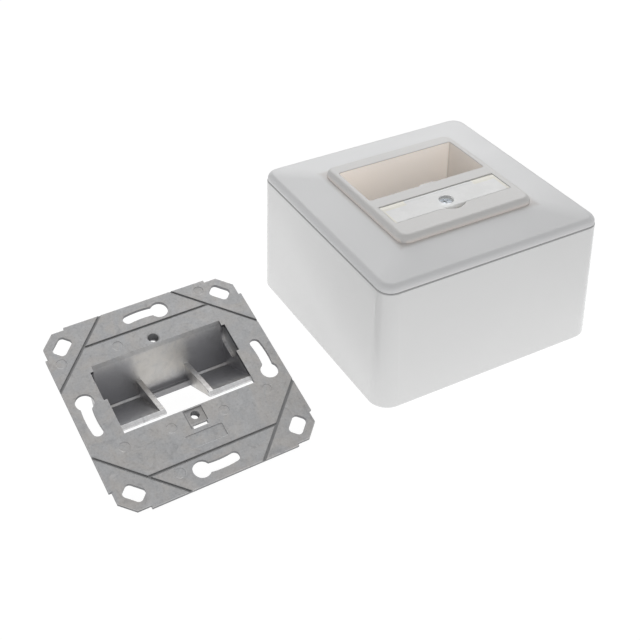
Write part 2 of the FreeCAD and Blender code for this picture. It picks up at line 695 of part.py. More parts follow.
def build_carrier_screws():
    """The two screws that hold the carrier, parked in opposite domes, as one group."""
    screws = []
    for side, way in (("left", -1), ("right", 1)):
        name = f"carrier_screw_{side}"
        sizes = ("FixingWidth", "FixingLength", "FixingHeadWidth", "FixingHeadHeight")
        screw = build_screw(name, *sizes)
        bind(screw, "Placement.Base.x", f"{way} * FixingCircle / 2")
        bind(screw, "Placement.Base.z", DOME_TOP)
        screws.append(screw)
    group = document.addObject("Part::Compound", "carrier_screws")
    group.Label = "carrier_screws"
    group.Links = screws
    return group


# Module carrier: die-cast plate with a pocket of two closed bays and an open middle bay
def build_carrier_plate(body):
    outline = new_sketch(body, "carrier_outline")
    draw_box(outline, f"-{CARRIER_HALF}", CARRIER_HALF, f"-{CARRIER_HALF}", CARRIER_HALF)
    add_pad(body, "carrier_plate", outline, "CarrierThickness", reverse=True)
    step = f"({CARRIER_HALF} - TabStep)"
    outside = f"({CARRIER_HALF} + {CUT_OVERRUN})"
    corner = new_sketch(body, "corner_outline")
    draw_polygon(corner, [
        ("TabStart", outside),
        ("TabStart", step),
        (f"{step} - TabChamfer", step),
        (step, f"{step} - TabChamfer"),
        (step, "TabStart"),
        (outside, "TabStart"),
        (outside, outside),
    ])
    corner_cut = add_pocket(body, "corner_cut", corner, "CarrierThickness")
    tabs = repeat_round(body, "corner_cuts", [corner_cut])
    edges = find_edges(tabs, lambda edge: on_level(edge, 0))
    add_chamfer(body, "carrier_edge", tabs, edges, "CarrierEdgeChamfer")


def build_carrier_pocket(body):
    shell = new_sketch(body, "pocket_outline", "0", "YZ_Plane")
    draw_polygon(shell, [
        (f"BayRear + PocketWall / sin({BACK_SLOPE})", "0"),
        (KEEL_Y, f"-{KEEL_DEPTH}"),
        ("-LipFront", "-(LipDepth + LipThickness)"),
        ("-LipFront", "0"),
    ])
    add_pad(body, "pocket_shell", shell, "BayWidth + 2 * PocketSideWall", both_sides=True)
    slit = new_sketch(body, "slit_outline")
    draw_box(slit, "-BayWidth / 2", "BayWidth / 2", "-BayFront", "-LipFront")
    add_pocket(body, "slit", slit, "CarrierThickness")

    # Above the partitions the pocket is open over its whole width
    partition_rear = f"(BayRear - PartitionRearDrop / tan({BACK_SLOPE}))"
    upper = new_sketch(body, "upper_outline", "0", "YZ_Plane")
    draw_polygon(upper, [
        ("BayRear", "0"),
        (partition_rear, "-PartitionRearDrop"),
        (LIP_REAR, "-PartitionFrontDrop"),
        ("-LipFront", "-PartitionFrontDrop"),
        ("-LipFront", "0"),
    ])
    add_pocket(body, "upper_space", upper, "BayWidth", both_sides=True)

    bay_profile = [
        ("BayRear", "0"),
        ("CreasePlace", "-CreaseDepth"),
        (LIP_REAR, "-LipDepth"),
        ("-LipFront", "-LipDepth"),
        ("-LipFront", "0"),
    ]
    side_start = "(PartitionPlace + PartitionWall / 2)"
    side_bay = new_sketch(body, "side_bay_outline", side_start, "YZ_Plane")
    draw_polygon(side_bay, bay_profile)
    right_bay = add_pocket(body, "side_bay", side_bay, f"BayWidth / 2 - {side_start}", reverse=True)
    mirror(body, "side_bays", [right_bay], "YZ_Plane")
    middle_width = "2 * PartitionPlace - PartitionWall"
    middle_bay = new_sketch(body, "middle_bay_outline", "0", "YZ_Plane")
    draw_polygon(middle_bay, bay_profile)
    add_pocket(body, "middle_bay", middle_bay, middle_width, both_sides=True)

    # The middle bay's floor is cut away in front of a narrow strip beside the crease
    strip_y = f"(CreasePlace - MiddleStrip * cos({FLOOR_SLOPE}))"
    strip_z = f"(-CreaseDepth + MiddleStrip * sin({FLOOR_SLOPE}))"
    through = "(2 * PocketWall)"
    middle_gap = new_sketch(body, "middle_gap_outline", "0", "YZ_Plane")
    draw_polygon(middle_gap, [
        (strip_y, strip_z),
        (f"{strip_y} - {through} * sin({FLOOR_SLOPE})", f"{strip_z} - {through} * cos({FLOOR_SLOPE})"),
        ("-LipFront", f"-(LipDepth + {through} / cos({FLOOR_SLOPE}))"),
        ("-LipFront", "-LipDepth"),
        (LIP_REAR, "-LipDepth"),
    ])
    add_pocket(body, "middle_gap", middle_gap, middle_width, both_sides=True)

    notch = new_sketch(body, "notch_outline", "BayWidth / 2", "YZ_Plane")
    notch_y = "((NotchRear + NotchFront) / 2)"
    notch_height = "2 * NotchDepth"
    draw_rounded(notch, "NotchRear - NotchFront", notch_height, "NotchRound", x=notch_y)
    right_notch = add_pocket(body, "notch", notch, "NotchReach", reverse=True)
    mirror(body, "notches", [right_notch], "YZ_Plane")


def build_carrier_holes(body):
    keyhole_radius = "(FixingCircle / 2)"
    slot = new_sketch(body, "keyhole_slot_outline")
    draw_arc_slot(slot, keyhole_radius, "KeyholeWidth", "-KeyholeHeadAngle", "KeyholeNarrowAngle")
    slot_cut = add_pocket(body, "keyhole_slot", slot, "CarrierThickness")
    head = new_sketch(body, "keyhole_head_outline")
    head_x = f"{keyhole_radius} * cos(KeyholeHeadAngle)"
    head_y = f"-{keyhole_radius} * sin(KeyholeHeadAngle)"
    draw_circle(head, head_x, head_y, "KeyholeHead")
    head_cut = add_pocket(body, "keyhole_head", head, "CarrierThickness")
    corner = new_sketch(body, "corner_hole_outline", turn=number("CornerHoleTurn"))
    corner_x = "(CornerHolePlace * sqrt(2))"
    draw_rounded(corner, "CornerHoleWidth", "CornerHoleLength", "CornerHoleRound", x=corner_x)
    corner_hole = add_pocket(body, "corner_hole", corner, "CarrierThickness")
    repeat_round(body, "holes", [slot_cut, head_cut, corner_hole])

    for name, place in (("ScrewThread", "-ScrewPlace"), ("RearThread", "RearThreadPlace")):
        boss_width, boss_depth = f"{name}BossWidth", f"{name}BossDepth"
        boss = new_sketch(body, f"{name}_boss_outline", "-CarrierThickness")
        draw_circle(boss, "0", place, boss_width)
        add_pad(body, f"{name}_boss", boss, boss_depth, reverse=True)
        hole = new_sketch(body, f"{name}_outline")
        draw_circle(hole, "0", place, f"{name}Bore")
        bored = add_pocket(body, f"{name}_bore", hole, f"CarrierThickness + {boss_depth}")
    bore = number("RearThreadBore")

    def is_rear_rim(edge):
        return on_level(edge, 0) and abs(edge.BoundBox.XLength - bore) < LEVEL_TOLERANCE

    rim = find_edges(bored, is_rear_rim)
    add_chamfer(body, "rear_thread_sink", bored, rim, "RearThreadSink")


def build_carrier_surface(body):
    """Break lines, the lug round the screw hole, the bare nameplate and the ejector marks."""
    outside = f"({CARRIER_HALF} + {CUT_OVERRUN})"
    half_groove = "(GrooveWidth / sqrt(2))"
    start = f"(GrooveDiagonal - {outside})"
    diagonal = new_sketch(body, "diagonal_outline")
    draw_polygon(diagonal, [
        (f"{start} - {half_groove}", outside),
        (f"{start} + {half_groove}", outside),
        (outside, f"{start} + {half_groove}"),
        (outside, f"{start} - {half_groove}"),
    ])
    diagonal_cut = add_pocket(body, "diagonal_groove", diagonal, "GrooveDepth")
    repeat_round(body, "diagonal_grooves", [diagonal_cut])
    line = new_sketch(body, "line_outline")
    half_line = "(GrooveDiagonal - GrooveLine)"
    low, high = "GrooveLine - GrooveWidth / 2", "GrooveLine + GrooveWidth / 2"
    draw_box(line, f"-{half_line}", half_line, low, high)
    line_cut = add_pocket(body, "line_groove", line, "GrooveDepth")
    mirror(body, "line_grooves", [line_cut], "XZ_Plane")

    lug = new_sketch(body, "lug_outline")
    draw_box(lug, "-LugWidth / 2", "LugWidth / 2", "-LugFront", "-LugRear")
    add_pocket(body, "lug", lug, "LugDepth")
    lug_slot = new_sketch(body, "lug_slot_outline")
    draw_box(lug_slot, "-LugSlotWidth / 2", "LugSlotWidth / 2", "-LugSlotFront", "-LugFront")
    add_pocket(body, "lug_slot", lug_slot, "CarrierThickness + ScrewThreadBossDepth")
    nameplate = new_sketch(body, "nameplate_outline")
    nameplate_y = "(-(NameplateRear + NameplateFront) / 2)"
    nameplate_height = "NameplateFront - NameplateRear"
    draw_rounded(nameplate, "NameplateWidth", nameplate_height, "NameplateCorner", y=nameplate_y)
    add_pocket(body, "nameplate", nameplate, "NameplateDepth")
    marks = new_sketch(body, "ejector_outline")
    for x, y in EJECTOR_MARKS:
        draw_circle(marks, x, y, "EjectorWidth")
    add_pocket(body, "ejector_marks", marks, "EjectorDepth")


def build_module_carrier():
    body = new_body("module_carrier")
    build_carrier_plate(body)
    build_carrier_pocket(body)
    build_carrier_holes(body)
    build_carrier_surface(body)
    bind(body, "Placement.Base.x", "CarrierX")
    bind(body, "Placement.Base.y", "CarrierY")
    bind(body, "Placement.Base.z", CARRIER_REST)
    bind(body, "Placement.Rotation.Yaw", "CarrierTurn")
    bind(body, "Placement.Rotation.Roll", CARRIER_TILT)
    return body


nodes = [
    build_surface_housing(),
    build_cover_frame(),
    build_centre_plate(),
    build_label_window(),
    build_label_card(),
    build_cover_screw(),
    build_carrier_screws(),
    build_module_carrier(),
]
document.recompute()

for item in document.Objects:
    failed = {"Invalid", "Error"} & set(item.State)
    if failed:
        raise RuntimeError(f"{item.Label} did not build: {item.State}")
for node in nodes:
    if node.Shape.isNull() or not node.Shape.isValid():
        raise RuntimeError(f"{node.Label} has no valid shape")

os.makedirs("parts", exist_ok=True)
for node in nodes:
    node.Shape.exportStep(f"parts/{node.Label}.step")
    print(f"{node.Label}: {len(node.Shape.Solids)} solid, {node.Shape.Volume:.1f} mm3")
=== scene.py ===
"""Surface mount jack box with its die-cast module carrier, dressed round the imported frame.

Lengths in the classes are in millimetres, in the row's frame, and MM turns them into metres.
"""

import logging
import math
from dataclasses import dataclass
from enum import Enum
from functools import partial, reduce

import bmesh
import bpy
from mathutils import Euler, Matrix, Vector

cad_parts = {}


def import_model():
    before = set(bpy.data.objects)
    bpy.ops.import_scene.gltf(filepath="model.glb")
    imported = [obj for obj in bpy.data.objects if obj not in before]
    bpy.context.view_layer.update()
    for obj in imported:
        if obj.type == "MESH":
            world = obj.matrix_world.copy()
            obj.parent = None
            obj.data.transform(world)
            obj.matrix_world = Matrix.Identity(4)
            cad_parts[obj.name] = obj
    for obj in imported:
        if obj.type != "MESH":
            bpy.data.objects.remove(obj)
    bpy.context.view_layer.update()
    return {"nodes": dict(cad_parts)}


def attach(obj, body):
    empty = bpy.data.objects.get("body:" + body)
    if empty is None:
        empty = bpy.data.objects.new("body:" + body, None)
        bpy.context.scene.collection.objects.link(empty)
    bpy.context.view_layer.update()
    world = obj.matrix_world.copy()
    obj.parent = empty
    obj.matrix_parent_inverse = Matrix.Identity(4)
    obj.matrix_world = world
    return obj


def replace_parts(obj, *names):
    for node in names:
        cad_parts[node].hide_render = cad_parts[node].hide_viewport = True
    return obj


MM = 0.001
LOG = logging.getLogger("jack_box")
Colour = tuple[float, float, float]
Point = tuple[float, float, float]
Pair = tuple[float, float]
Socket = bpy.types.NodeSocket
Material = bpy.types.Material
Object = bpy.types.Object
Nodes = dict[str, Object]
ORIGIN: Point = (0.0, 0.0, 0.0)
UP: Point = (0.0, 0.0, 1.0)
FULL_TURN = 2 * math.pi
SMOOTH_BELOW = 35.0


class Body(Enum):
    """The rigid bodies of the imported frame."""

    ROOT = "root"
    WINDOW = "window"


class Slot(Enum):
    """The record's material slots."""

    HOUSING = "housing"
    FRAME = "frame"
    PLATE = "plate"
    WINDOW = "window"
    CARD = "card"
    SCREW = "screw_zinc"
    CASTING = "casting"


# Node sheets
class NodeSheet:
    """A node tree with a short method for each node that the finishes use."""

    def __init__(self, owner: Material | bpy.types.World) -> None:
        """Start on the nodes of a material or a world, which are emptied.

        Args:
            owner: The material or the world.
        """
        owner.use_nodes = True
        self.owner = owner
        self.tree = owner.node_tree
        self.tree.nodes.clear()

    @classmethod
    def new(cls, name: str) -> "NodeSheet":
        """Start a new material of this name."""
        return cls(bpy.data.materials.new(name))

    def node(self, kind: str, inputs: dict[str | int, object] | None = None,
             **settings: object) -> bpy.types.Node:
        """Add a node, set its properties and fill its inputs.

        Args:
            kind: Blender's name of the node type.
            inputs: Sources or values, by the names or numbers of the inputs.
            settings: Properties to set on the node.

        Returns:
            The new node.
        """
        made = self.tree.nodes.new(kind)
        for name, value in settings.items():
            setattr(made, name, value)
        for key, value in (inputs or {}).items():
            self.feed(made.inputs[key], value)
        return made

    def feed(self, socket: Socket, value: object) -> None:
        """Link a socket to another node's output, or set its own value.

        Args:
            socket: The socket to fill.
            value: An output socket, a colour or a number.
        """
        if isinstance(value, Socket):
            self.tree.links.new(value, socket)
        elif isinstance(value, tuple) and socket.type == "RGBA":
            socket.default_value = (*value, 1.0)
        else:
            socket.default_value = value

    def place(self) -> Socket:
        """Read the object coordinates, in metres in the row's frame."""
        return self.node("ShaderNodeTexCoord").outputs["Object"]

    def spot(self) -> tuple[Socket, ...]:
        """Give the place's X, Y and Z in the row's frame, in millimetres."""
        return self.axes(self.mapped(ORIGIN))

    def facing(self, direction: Point) -> Socket:
        """Tell how squarely a face looks along a unit vector of the piece's own frame."""
        inputs = {0: self.node("ShaderNodeTexCoord").outputs["Normal"], 1: direction}
        return self.node("ShaderNodeVectorMath", inputs, operation="DOT_PRODUCT").outputs["Value"]

    def mapped(self, location: Point, turn: Point = ORIGIN) -> Socket:
        """Read the place in millimetres, as seen from another frame.

        Args:
            location: The frame's origin, in millimetres.
            turn: The frame's Euler angles in degrees.

        Returns:
            The place.
        """
        angles = [math.radians(angle) for angle in turn]
        inputs = {"Vector": self.place(), "Location": Vector(location) * MM, "Rotation": angles,
                  "Scale": (MM, MM, MM)}
        return self.node("ShaderNodeMapping", inputs, vector_type="TEXTURE").outputs["Vector"]

    def noise(self, vector: Socket, scale: float, detail: float = 3.0, rough: float = 0.5,
              twist: float = 0.0) -> Socket:
        """Add noise from 0 to 1: its fineness, its octaves, the weight of the finer ones, its distortion."""
        inputs = {"Vector": vector, "Scale": scale, "Detail": detail, "Roughness": rough, "Distortion": twist}
        return self.node("ShaderNodeTexNoise", inputs).outputs["Fac"]

    def cells(self, vector: Socket, scale: float) -> Socket:
        """Scatter points, by their number in one unit, and give the distance to the nearest."""
        return self.node("ShaderNodeTexVoronoi", {"Vector": vector, "Scale": scale}).outputs["Distance"]

    def spread(self, value: Socket, low: float, high: float, to_low: float = 0.0,
               to_high: float = 1.0) -> Socket:
        """Ease a value from the range low to high over to another range, and hold it at its ends."""
        inputs = {"Value": value, "From Min": low, "From Max": high, "To Min": to_low, "To Max": to_high}
        return self.node("ShaderNodeMapRange", inputs, interpolation_type="SMOOTHSTEP").outputs["Result"]

    def patches(self, vector: Socket, grain: tuple[float, ...], low: float, high: float,
                to_low: float = 0.0, to_high: float = 1.0) -> Socket:
        """Spread noise into soft patches; the grain holds what the noise takes after its vector."""
        return self.spread(self.noise(vector, *grain), low, high, to_low, to_high)

    def sums(self, operation: str, *values: object) -> Socket:
        """Do one step of arithmetic, by Blender's name of it."""
        return self.node("ShaderNodeMath", dict(enumerate(values)), operation=operation).outputs["Value"]

    def both(self, *masks: Socket) -> Socket:
        """Join masks by their product."""
        return reduce(partial(self.sums, "MULTIPLY"), masks)

    def near(self, value: Socket, middle: float, inner: float, outer: float) -> Socket:
        """Mask the values that lie less than inner from the middle, fading out up to outer."""
        return self.spread(self.sums("ABSOLUTE", self.sums("SUBTRACT", value, middle)), outer, inner)

    def axes(self, vector: Socket) -> tuple[Socket, ...]:
        """Split a vector into its X, Y and Z."""
        made = self.node("ShaderNodeSeparateXYZ", {"Vector": vector})
        return tuple(made.outputs[name] for name in "XYZ")

    def radius(self, vector: Socket) -> Socket:
        """Give a place's distance from the Z axis."""
        squares = (self.sums("MULTIPLY", part, part) for part in self.axes(vector)[:2])
        return self.sums("SQRT", self.sums("ADD", *squares))

    def blend(self, share: object, first: object, second: object) -> Socket:
        """Blend two colours, from the first at share 0 to the second at share 1."""
        inputs = {"Factor": share, 6: first, 7: second}
        return self.node("ShaderNodeMix", inputs, data_type="RGBA").outputs[2]

    def layered(self, base: object, *layers: tuple[Socket, Colour]) -> Socket:
        """Lay colours over a base, one after the other, each by its mask."""
        return reduce(lambda below, layer: self.blend(layer[0], below, layer[1]), layers, base)

    def bump(self, height: Socket, strength: float, depth: float, edge: float = 0.0) -> Socket:
        """Make a bump from a height map.

        Args:
            height: The height map.
            strength: How strongly it shows.
            depth: Its depth in millimetres.
            edge: Radius of softened edges, in millimetres.

        Returns:
            The normal.
        """
        made = self.node("ShaderNodeBump", {"Strength": strength, "Distance": depth * MM, "Height": height})
        if edge:
            soft = self.node("ShaderNodeBevel", {"Radius": edge * MM}, samples=6)
            self.feed(made.inputs["Normal"], soft.outputs["Normal"])
        return made.outputs["Normal"]

    def shown(self, shader: Socket) -> Material | bpy.types.World:
        """Show a shader on the surface and give what it belongs to."""
        kind = "World" if isinstance(self.owner, bpy.types.World) else "Material"
        self.node(f"ShaderNodeOutput{kind}", {"Surface": shader})
        return self.owner

    def principled(self, **sockets: object) -> Material:
        """Finish the material with a Principled shader.

        Args:
            sockets: Socket names with underscores for spaces, and their values or sources.

        Returns:
            The finished material.
        """
        inputs = {name.replace("_", " "): value for name, value in sockets.items()}
        return self.shown(self.node("ShaderNodeBsdfPrincipled", inputs).outputs["BSDF"])


@dataclass(frozen=True)
class Zone:
    """A block with soft borders in which a finish differs.

    Attributes:
        middle: Its middle.
        half: Half its size along each axis.
        soft: How far its borders fade out along each axis.
    """

    middle: Point
    half: Point
    soft: Point

    def mask(self, sheet: NodeSheet, axes: tuple[Socket, ...]) -> Socket:
        """Mask the block, from the place along each axis."""
        return sheet.both(*(sheet.near(axis, middle, half, half + soft)
                            for axis, middle, half, soft in zip(axes, self.middle, self.half, self.soft)))


# Finishes
def scaled(colour: Colour, share: float) -> Colour:
    """Multiply each part of a linear colour by a share, and hold it at 1."""
    return tuple(min(1.0, part * share) for part in colour)


@dataclass(frozen=True)
class MouldedPlastic:
    """Injection moulded plastic with a fine grain, faint flow marks and a little dust.

    Attributes:
        name: The material's name.
        colour: Its linear colour.
        roughness: How matt its gloss is.
        grain: Strength of the fine moulded grain.
        edge: Radius of its softened edges, in millimetres.
        flow: Colour shares at the two ends of the flow marks.
        dust: Colour share in the specks of dust.
        seam: Level of the groove between the housing and the frame.
        groove: How far from the seam its shade is full, and where it ends.
        shade: Colour share in that groove.
    """

    name: str
    colour: Colour
    roughness: float
    grain: float
    edge: float
    flow: Pair = (0.992, 1.004)
    dust: float = 0.7
    seam: float = 44.8
    groove: Pair = (0.2, 0.34)
    shade: float = 0.7

    def zoned(self, sheet: NodeSheet, base: Socket) -> Socket:
        """Darken the colour in the groove along the seam."""
        groove = sheet.near(sheet.spot()[2], self.seam, *self.groove)
        return sheet.blend(groove, base, scaled(self.colour, self.shade))

    def glow(self, sheet: NodeSheet) -> dict[str, object]:
        """Say which sockets give the plastic a painted glow: none, unless a kind of it adds some."""
        return {}

    def material(self) -> Material:
        """Build the material.

        Returns:
            The material.
        """
        sheet = NodeSheet.new(self.name)
        place = sheet.place()
        cloud = sheet.patches(place, (38.0, 2.0, 0.55, 0.6), 0.3, 0.75)
        base = sheet.blend(cloud, *(scaled(self.colour, share) for share in self.flow))
        specks = sheet.both(sheet.spread(sheet.cells(place, 260.0), 0.035, 0.075, 1.0, 0.0),
                            sheet.patches(place, (90.0, 1.0), 0.62, 0.7, 0.0, 0.08))
        colour = self.zoned(sheet, sheet.blend(specks, base, scaled(self.colour, self.dust)))
        height = sheet.blend(0.35, sheet.noise(place, 2600.0, 2.0, 0.6), sheet.noise(place, 420.0))
        gloss = sheet.patches(place, (55.0, 3.0), 0.3, 0.7, self.roughness - 0.02, self.roughness + 0.03)
        return sheet.principled(Base_Color=colour, Roughness=gloss, IOR=1.5,
                                Normal=sheet.bump(height, self.grain, 0.05, self.edge), **self.glow(sheet))


@dataclass(frozen=True)
class FramePlastic(MouldedPlastic):
    """The cover frame's plastic, with painted shade on its upright edge below the shoulder and at the plate's
    foot.

    Attributes:
        shoulder: Level at which the upright edge ends.
        fade: How far below the shoulder the painted shade is full.
        dull_and_shade: Colour share of the painted shade on the upright edge.
        plate_half: Half the plate's width.
        foot_reach: How far the plate's painted warm shade reaches past it.
        warm: Painted warm shade at the plate's foot.
    """

    shoulder: float = 46.6
    fade: float = 1.2
    dull_and_shade: float = 0.97
    plate_half: float = 26.0
    foot_reach: float = 2.2
    warm: Colour = (0.60, 0.565, 0.54)

    def zoned(self, sheet: NodeSheet, base: Socket) -> Socket:
        """Paint shade onto the upright edge and at the plate's foot.

        Args:
            sheet: The material's nodes.
            base: The colour before.

        Returns:
            The colour after.
        """
        across, along, height = sheet.spot()
        # Painted shade on the upright edge below the shoulder, and painted warm shade at the plate's foot.
        edge_shade_band = sheet.spread(height, self.shoulder, self.shoulder - self.fade, 0.0, 0.9)
        edge_shaded = sheet.blend(edge_shade_band, base, scaled(self.colour, self.dull_and_shade))
        reach = sheet.sums("MAXIMUM", sheet.sums("ABSOLUTE", across), sheet.sums("ABSOLUTE", along))
        foot = sheet.spread(reach, self.plate_half + self.foot_reach, self.plate_half - 0.2, 0.0, 0.75)
        return super().zoned(sheet, sheet.blend(foot, edge_shaded, self.warm))


@dataclass(frozen=True)
class PlatePlastic(MouldedPlastic):
    """The centre plate's plastic, with painted warm light and glow down inside the opening and painted shade
    on its right wall, painted cream light on the label field's floor, and painted light in the scoop and low
    on its outer sides.

    Attributes:
        opening_light: Painted warm light deep in the module opening.
        edge_refraction_light: Painted cream light on the field's floor, from light through the clear window's
            edges.
        foot: Painted warm light low on the plate's outer sides.
        through: Strength of the painted warm glow on the opening's walls.
        shaded: Share of that painted glow on the opening's right wall, which is painted in shade.
        right_wall_shade: Colour share of the painted shade on that wall.
        scoop_light: Colour share of the painted light that lifts the fingernail scoop out of its shade.
        opening: The module opening with its walls.
        label_field: The floor of the label field.
        scoop: The fingernail scoop.
        rim: Distances from the middle between which the outer sides start.
        foot_levels: Levels between which the foot's painted light grows downwards.
    """

    opening_light: Colour = (0.93, 0.868, 0.808)
    edge_refraction_light: Colour = (0.98, 0.94, 0.80)
    foot: Colour = (0.95, 0.885, 0.84)
    through: float = 0.22
    shaded: float = 0.35
    right_wall_shade: float = 0.84
    scoop_light: float = 1.36
    opening: Zone = Zone((0.0, 9.55, 40.0), (23.2, 10.65, 11.2), (0.2, 0.2, 0.48))
    label_field: Zone = Zone((0.0, -11.5, 50.0), (22.8, 5.5, 0.3), (0.05, 0.1, 0.2))
    scoop: Zone = Zone((0.0, -18.1, 50.7), (4.5, 1.0, 0.85), (0.2, 0.1, 0.1))
    rim: Pair = (25.2, 25.7)
    foot_levels: Pair = (51.0, 49.5)

    def right_wall(self, sheet: NodeSheet, elsewhere: float, there: float) -> Socket:
        """Give one value on the wall that looks to the left, and another elsewhere."""
        return sheet.spread(sheet.facing((-1.0, 0.0, 0.0)), 0.4, 0.8, elsewhere, there)

    def zoned(self, sheet: NodeSheet, base: Socket) -> Socket:
        """Paint warm light into the opening with painted shade on its right wall, cream light on the field,
        and light in the scoop and on the foot.

        Args:
            sheet: The material's nodes.
            base: The colour before.

        Returns:
            The colour after.
        """
        axes = sheet.spot()
        side, fore = (sheet.sums("ABSOLUTE", axis) for axis in axes[:2])
        streaks = sheet.patches(sheet.place(), (120.0, 3.0, 0.6, 0.8), 0.3, 0.75, 0.85, 1.0)
        # Painted warm light in the opening, with painted shade on its right wall.
        right = scaled(self.opening_light, self.right_wall_shade)
        opening_light_and_shade = sheet.blend(self.right_wall(sheet, 0.0, 1.0), self.opening_light, right)
        # Painted warm light low on the plate's outer sides.
        rim = sheet.both(sheet.spread(sheet.sums("MAXIMUM", side, fore), *self.rim),
                         sheet.spread(axes[2], *self.foot_levels, 0.0, 0.95))
        # Painted cream light on the label field and painted light in the scoop.
        return sheet.layered(base, (sheet.both(self.opening.mask(sheet, axes), streaks), opening_light_and_shade),
                             (self.label_field.mask(sheet, axes), self.edge_refraction_light),
                             (self.scoop.mask(sheet, axes), scaled(self.colour, self.scoop_light)),
                             (rim, self.foot))

    def glow(self, sheet: NodeSheet) -> dict[str, object]:
        """Give the opening's walls a painted warm glow, weaker on the right wall.

        Args:
            sheet: The material's nodes.

        Returns:
            Sockets of the shader and their values.
        """
        walls = self.opening.mask(sheet, sheet.spot())
        # Painted glow: emission on the opening's walls, weaker on its right wall.
        light = sheet.both(walls, self.right_wall(sheet, self.through, self.through * self.shaded))
        return {"Emission_Color": self.opening_light, "Emission_Strength": light}


@dataclass(frozen=True)
class DieCastZinc:
    """Bare die-cast zinc, mottled cool and warm, with flow marks; painted shade in its closed bays, on its
    walls and in its break lines, and painted light on the middle bay's back wall and the bays' front edge.

    Attributes:
        name: The material's name.
        origin: Origin of the casting's own frame, in millimetres.
        turn: Its Euler angles in degrees.
        upward: The direction that its top face looks in.
        cool: Main colour.
        warm: Colour of the warmer patches.
        pale: Colour of the brighter flow marks.
        stain_and_shade: Colour of the darker flow marks, and painted shade on the trimmed sides and the walls
            of the threaded holes.
        deep: Painted shade low in the closed bays and along the middle bay's crease.
        lit: Painted light on the middle bay's back wall.
        line: Colour of the painted shade in the break lines and of the painted shadow line beside the lug.
        lip_highlight_colour: Colour of the painted highlight on the front edge of the bays.
        bores: Places of the threaded holes along the Y axis.
        bore_reach: How far from a hole's middle the painted shade on its wall surely reaches, and at most.
        lip_highlight: The front edge of the bays, where a highlight is painted in patches.
        lug_shadow_line: The painted shadow line beside the lug round the front hole.
        steep: How squarely a face looks upward where the pocket's walls start.
        behind_lip: Where the bays start behind their front edge.
        sunk: Levels between which the closed bays' painted shade grows.
        bay_in: Distances from the middle between which they darken.
        bay_out: Distances between which they end.
        middle_bay: Distances between which the middle bay ends.
        wall_top: Levels between which its lit wall starts.
        wall_foot: Levels between which that wall ends.
        crease: Levels between which painted shade darkens its foot.
        diagonal: Sum of the two distances from the middle along the slanting break lines.
        straight: Distance of the straight break lines from the middle.
        straight_ends: Where these fade out towards the slanting ones, and where they are full.
    """

    name: str
    origin: Point
    turn: Point
    upward: Point
    cool: Colour = (0.46, 0.465, 0.475)
    warm: Colour = (0.505, 0.488, 0.472)
    pale: Colour = (0.66, 0.66, 0.665)
    stain_and_shade: Colour = (0.20, 0.20, 0.207)
    deep: Colour = (0.40, 0.40, 0.415)
    lit: Colour = (0.61, 0.59, 0.56)
    line: Colour = (0.30, 0.30, 0.303)
    lip_highlight_colour: Colour = (0.74, 0.74, 0.745)
    bores: Pair = (20.1, -11.35)
    bore_reach: Pair = (2.4, 2.7)
    lip_highlight: Zone = Zone((0.0, -6.3, -1.1), (22.5, 0.72, 0.75), (0.2, 0.18, 0.15))
    lug_shadow_line: Zone = Zone((-3.1, -12.3, 0.0), (0.16, 3.2, 0.7), (0.18, 0.6, 0.2))
    steep: Pair = (0.86, 0.78)
    behind_lip: Pair = (-6.0, -4.5)
    sunk: Pair = (-0.6, -4.0)
    bay_in: Pair = (7.6, 12.0)
    bay_out: Pair = (23.6, 23.2)
    middle_bay: Pair = (10.5, 7.0)
    wall_top: Pair = (-0.3, -2.2)
    wall_foot: Pair = (-13.8, -9.0)
    crease: Pair = (-11.0, -13.8)
    diagonal: float = 47.2
    straight: float = 25.0
    straight_ends: Pair = (22.8, 22.2)

    def material(self) -> Material:
        """Build the material.

        Returns:
            The material.
        """
        sheet = NodeSheet.new(self.name)
        local = sheet.mapped(self.origin, self.turn)
        axes = sheet.axes(local)
        # Painted highlight on the bays' front edge, in patches.
        lip_highlight_patches = sheet.patches(axes[0], (0.35, 3.0, 0.6), 0.3, 0.6, 0.45, 0.9)
        base = sheet.layered(self.pocket(sheet, self.mottled(sheet, local), local),
                             # Painted shade on the trimmed sides and the hole walls.
                             (self.walls(sheet, axes), self.stain_and_shade),
                             # Painted shade in the break lines, and a painted shadow line beside the lug.
                             (self.break_lines(sheet, axes), self.line),
                             (sheet.both(self.lip_highlight.mask(sheet, axes), lip_highlight_patches), self.lip_highlight_colour),
                             (self.lug_shadow_line.mask(sheet, axes), self.line))
        rough = sheet.patches(local, (0.5, 4.0, 0.6), 0.3, 0.75, 0.36, 0.52)
        pits = sheet.blend(0.5, sheet.noise(local, 1.1, 5.0, 0.65), sheet.noise(local, 7.0, 2.0, 0.6))
        return sheet.principled(Base_Color=base, Metallic=1.0, Roughness=rough,
                                Normal=sheet.bump(pits, 0.3, 0.12, 0.2))

    def mottled(self, sheet: NodeSheet, local: Socket) -> Socket:
        """Lay warm patches, flow marks and flecks over the main colour.

        Args:
            sheet: The material's nodes.
            local: Place in the casting's own frame.

        Returns:
            The colour.
        """
        marks = (((0.075, 4.0, 0.6, 1.4), 0.36, 0.66, 1.0, self.warm),
                 ((0.28, 5.0, 0.62, 0.9), 0.42, 0.8, 0.42, self.pale),
                 ((0.16, 4.0, 0.6, 2.2), 0.52, 0.78, 0.36, self.stain_and_shade),
                 ((1.5, 2.0, 0.7), 0.36, 0.66, 0.22, self.pale),
                 ((1.1, 3.0, 0.7, 0.4), 0.5, 0.72, 0.22, self.stain_and_shade))
        return sheet.layered(self.cool, *((sheet.patches(local, grain, low, high, 0.0, share), colour)
                                          for grain, low, high, share, colour in marks))

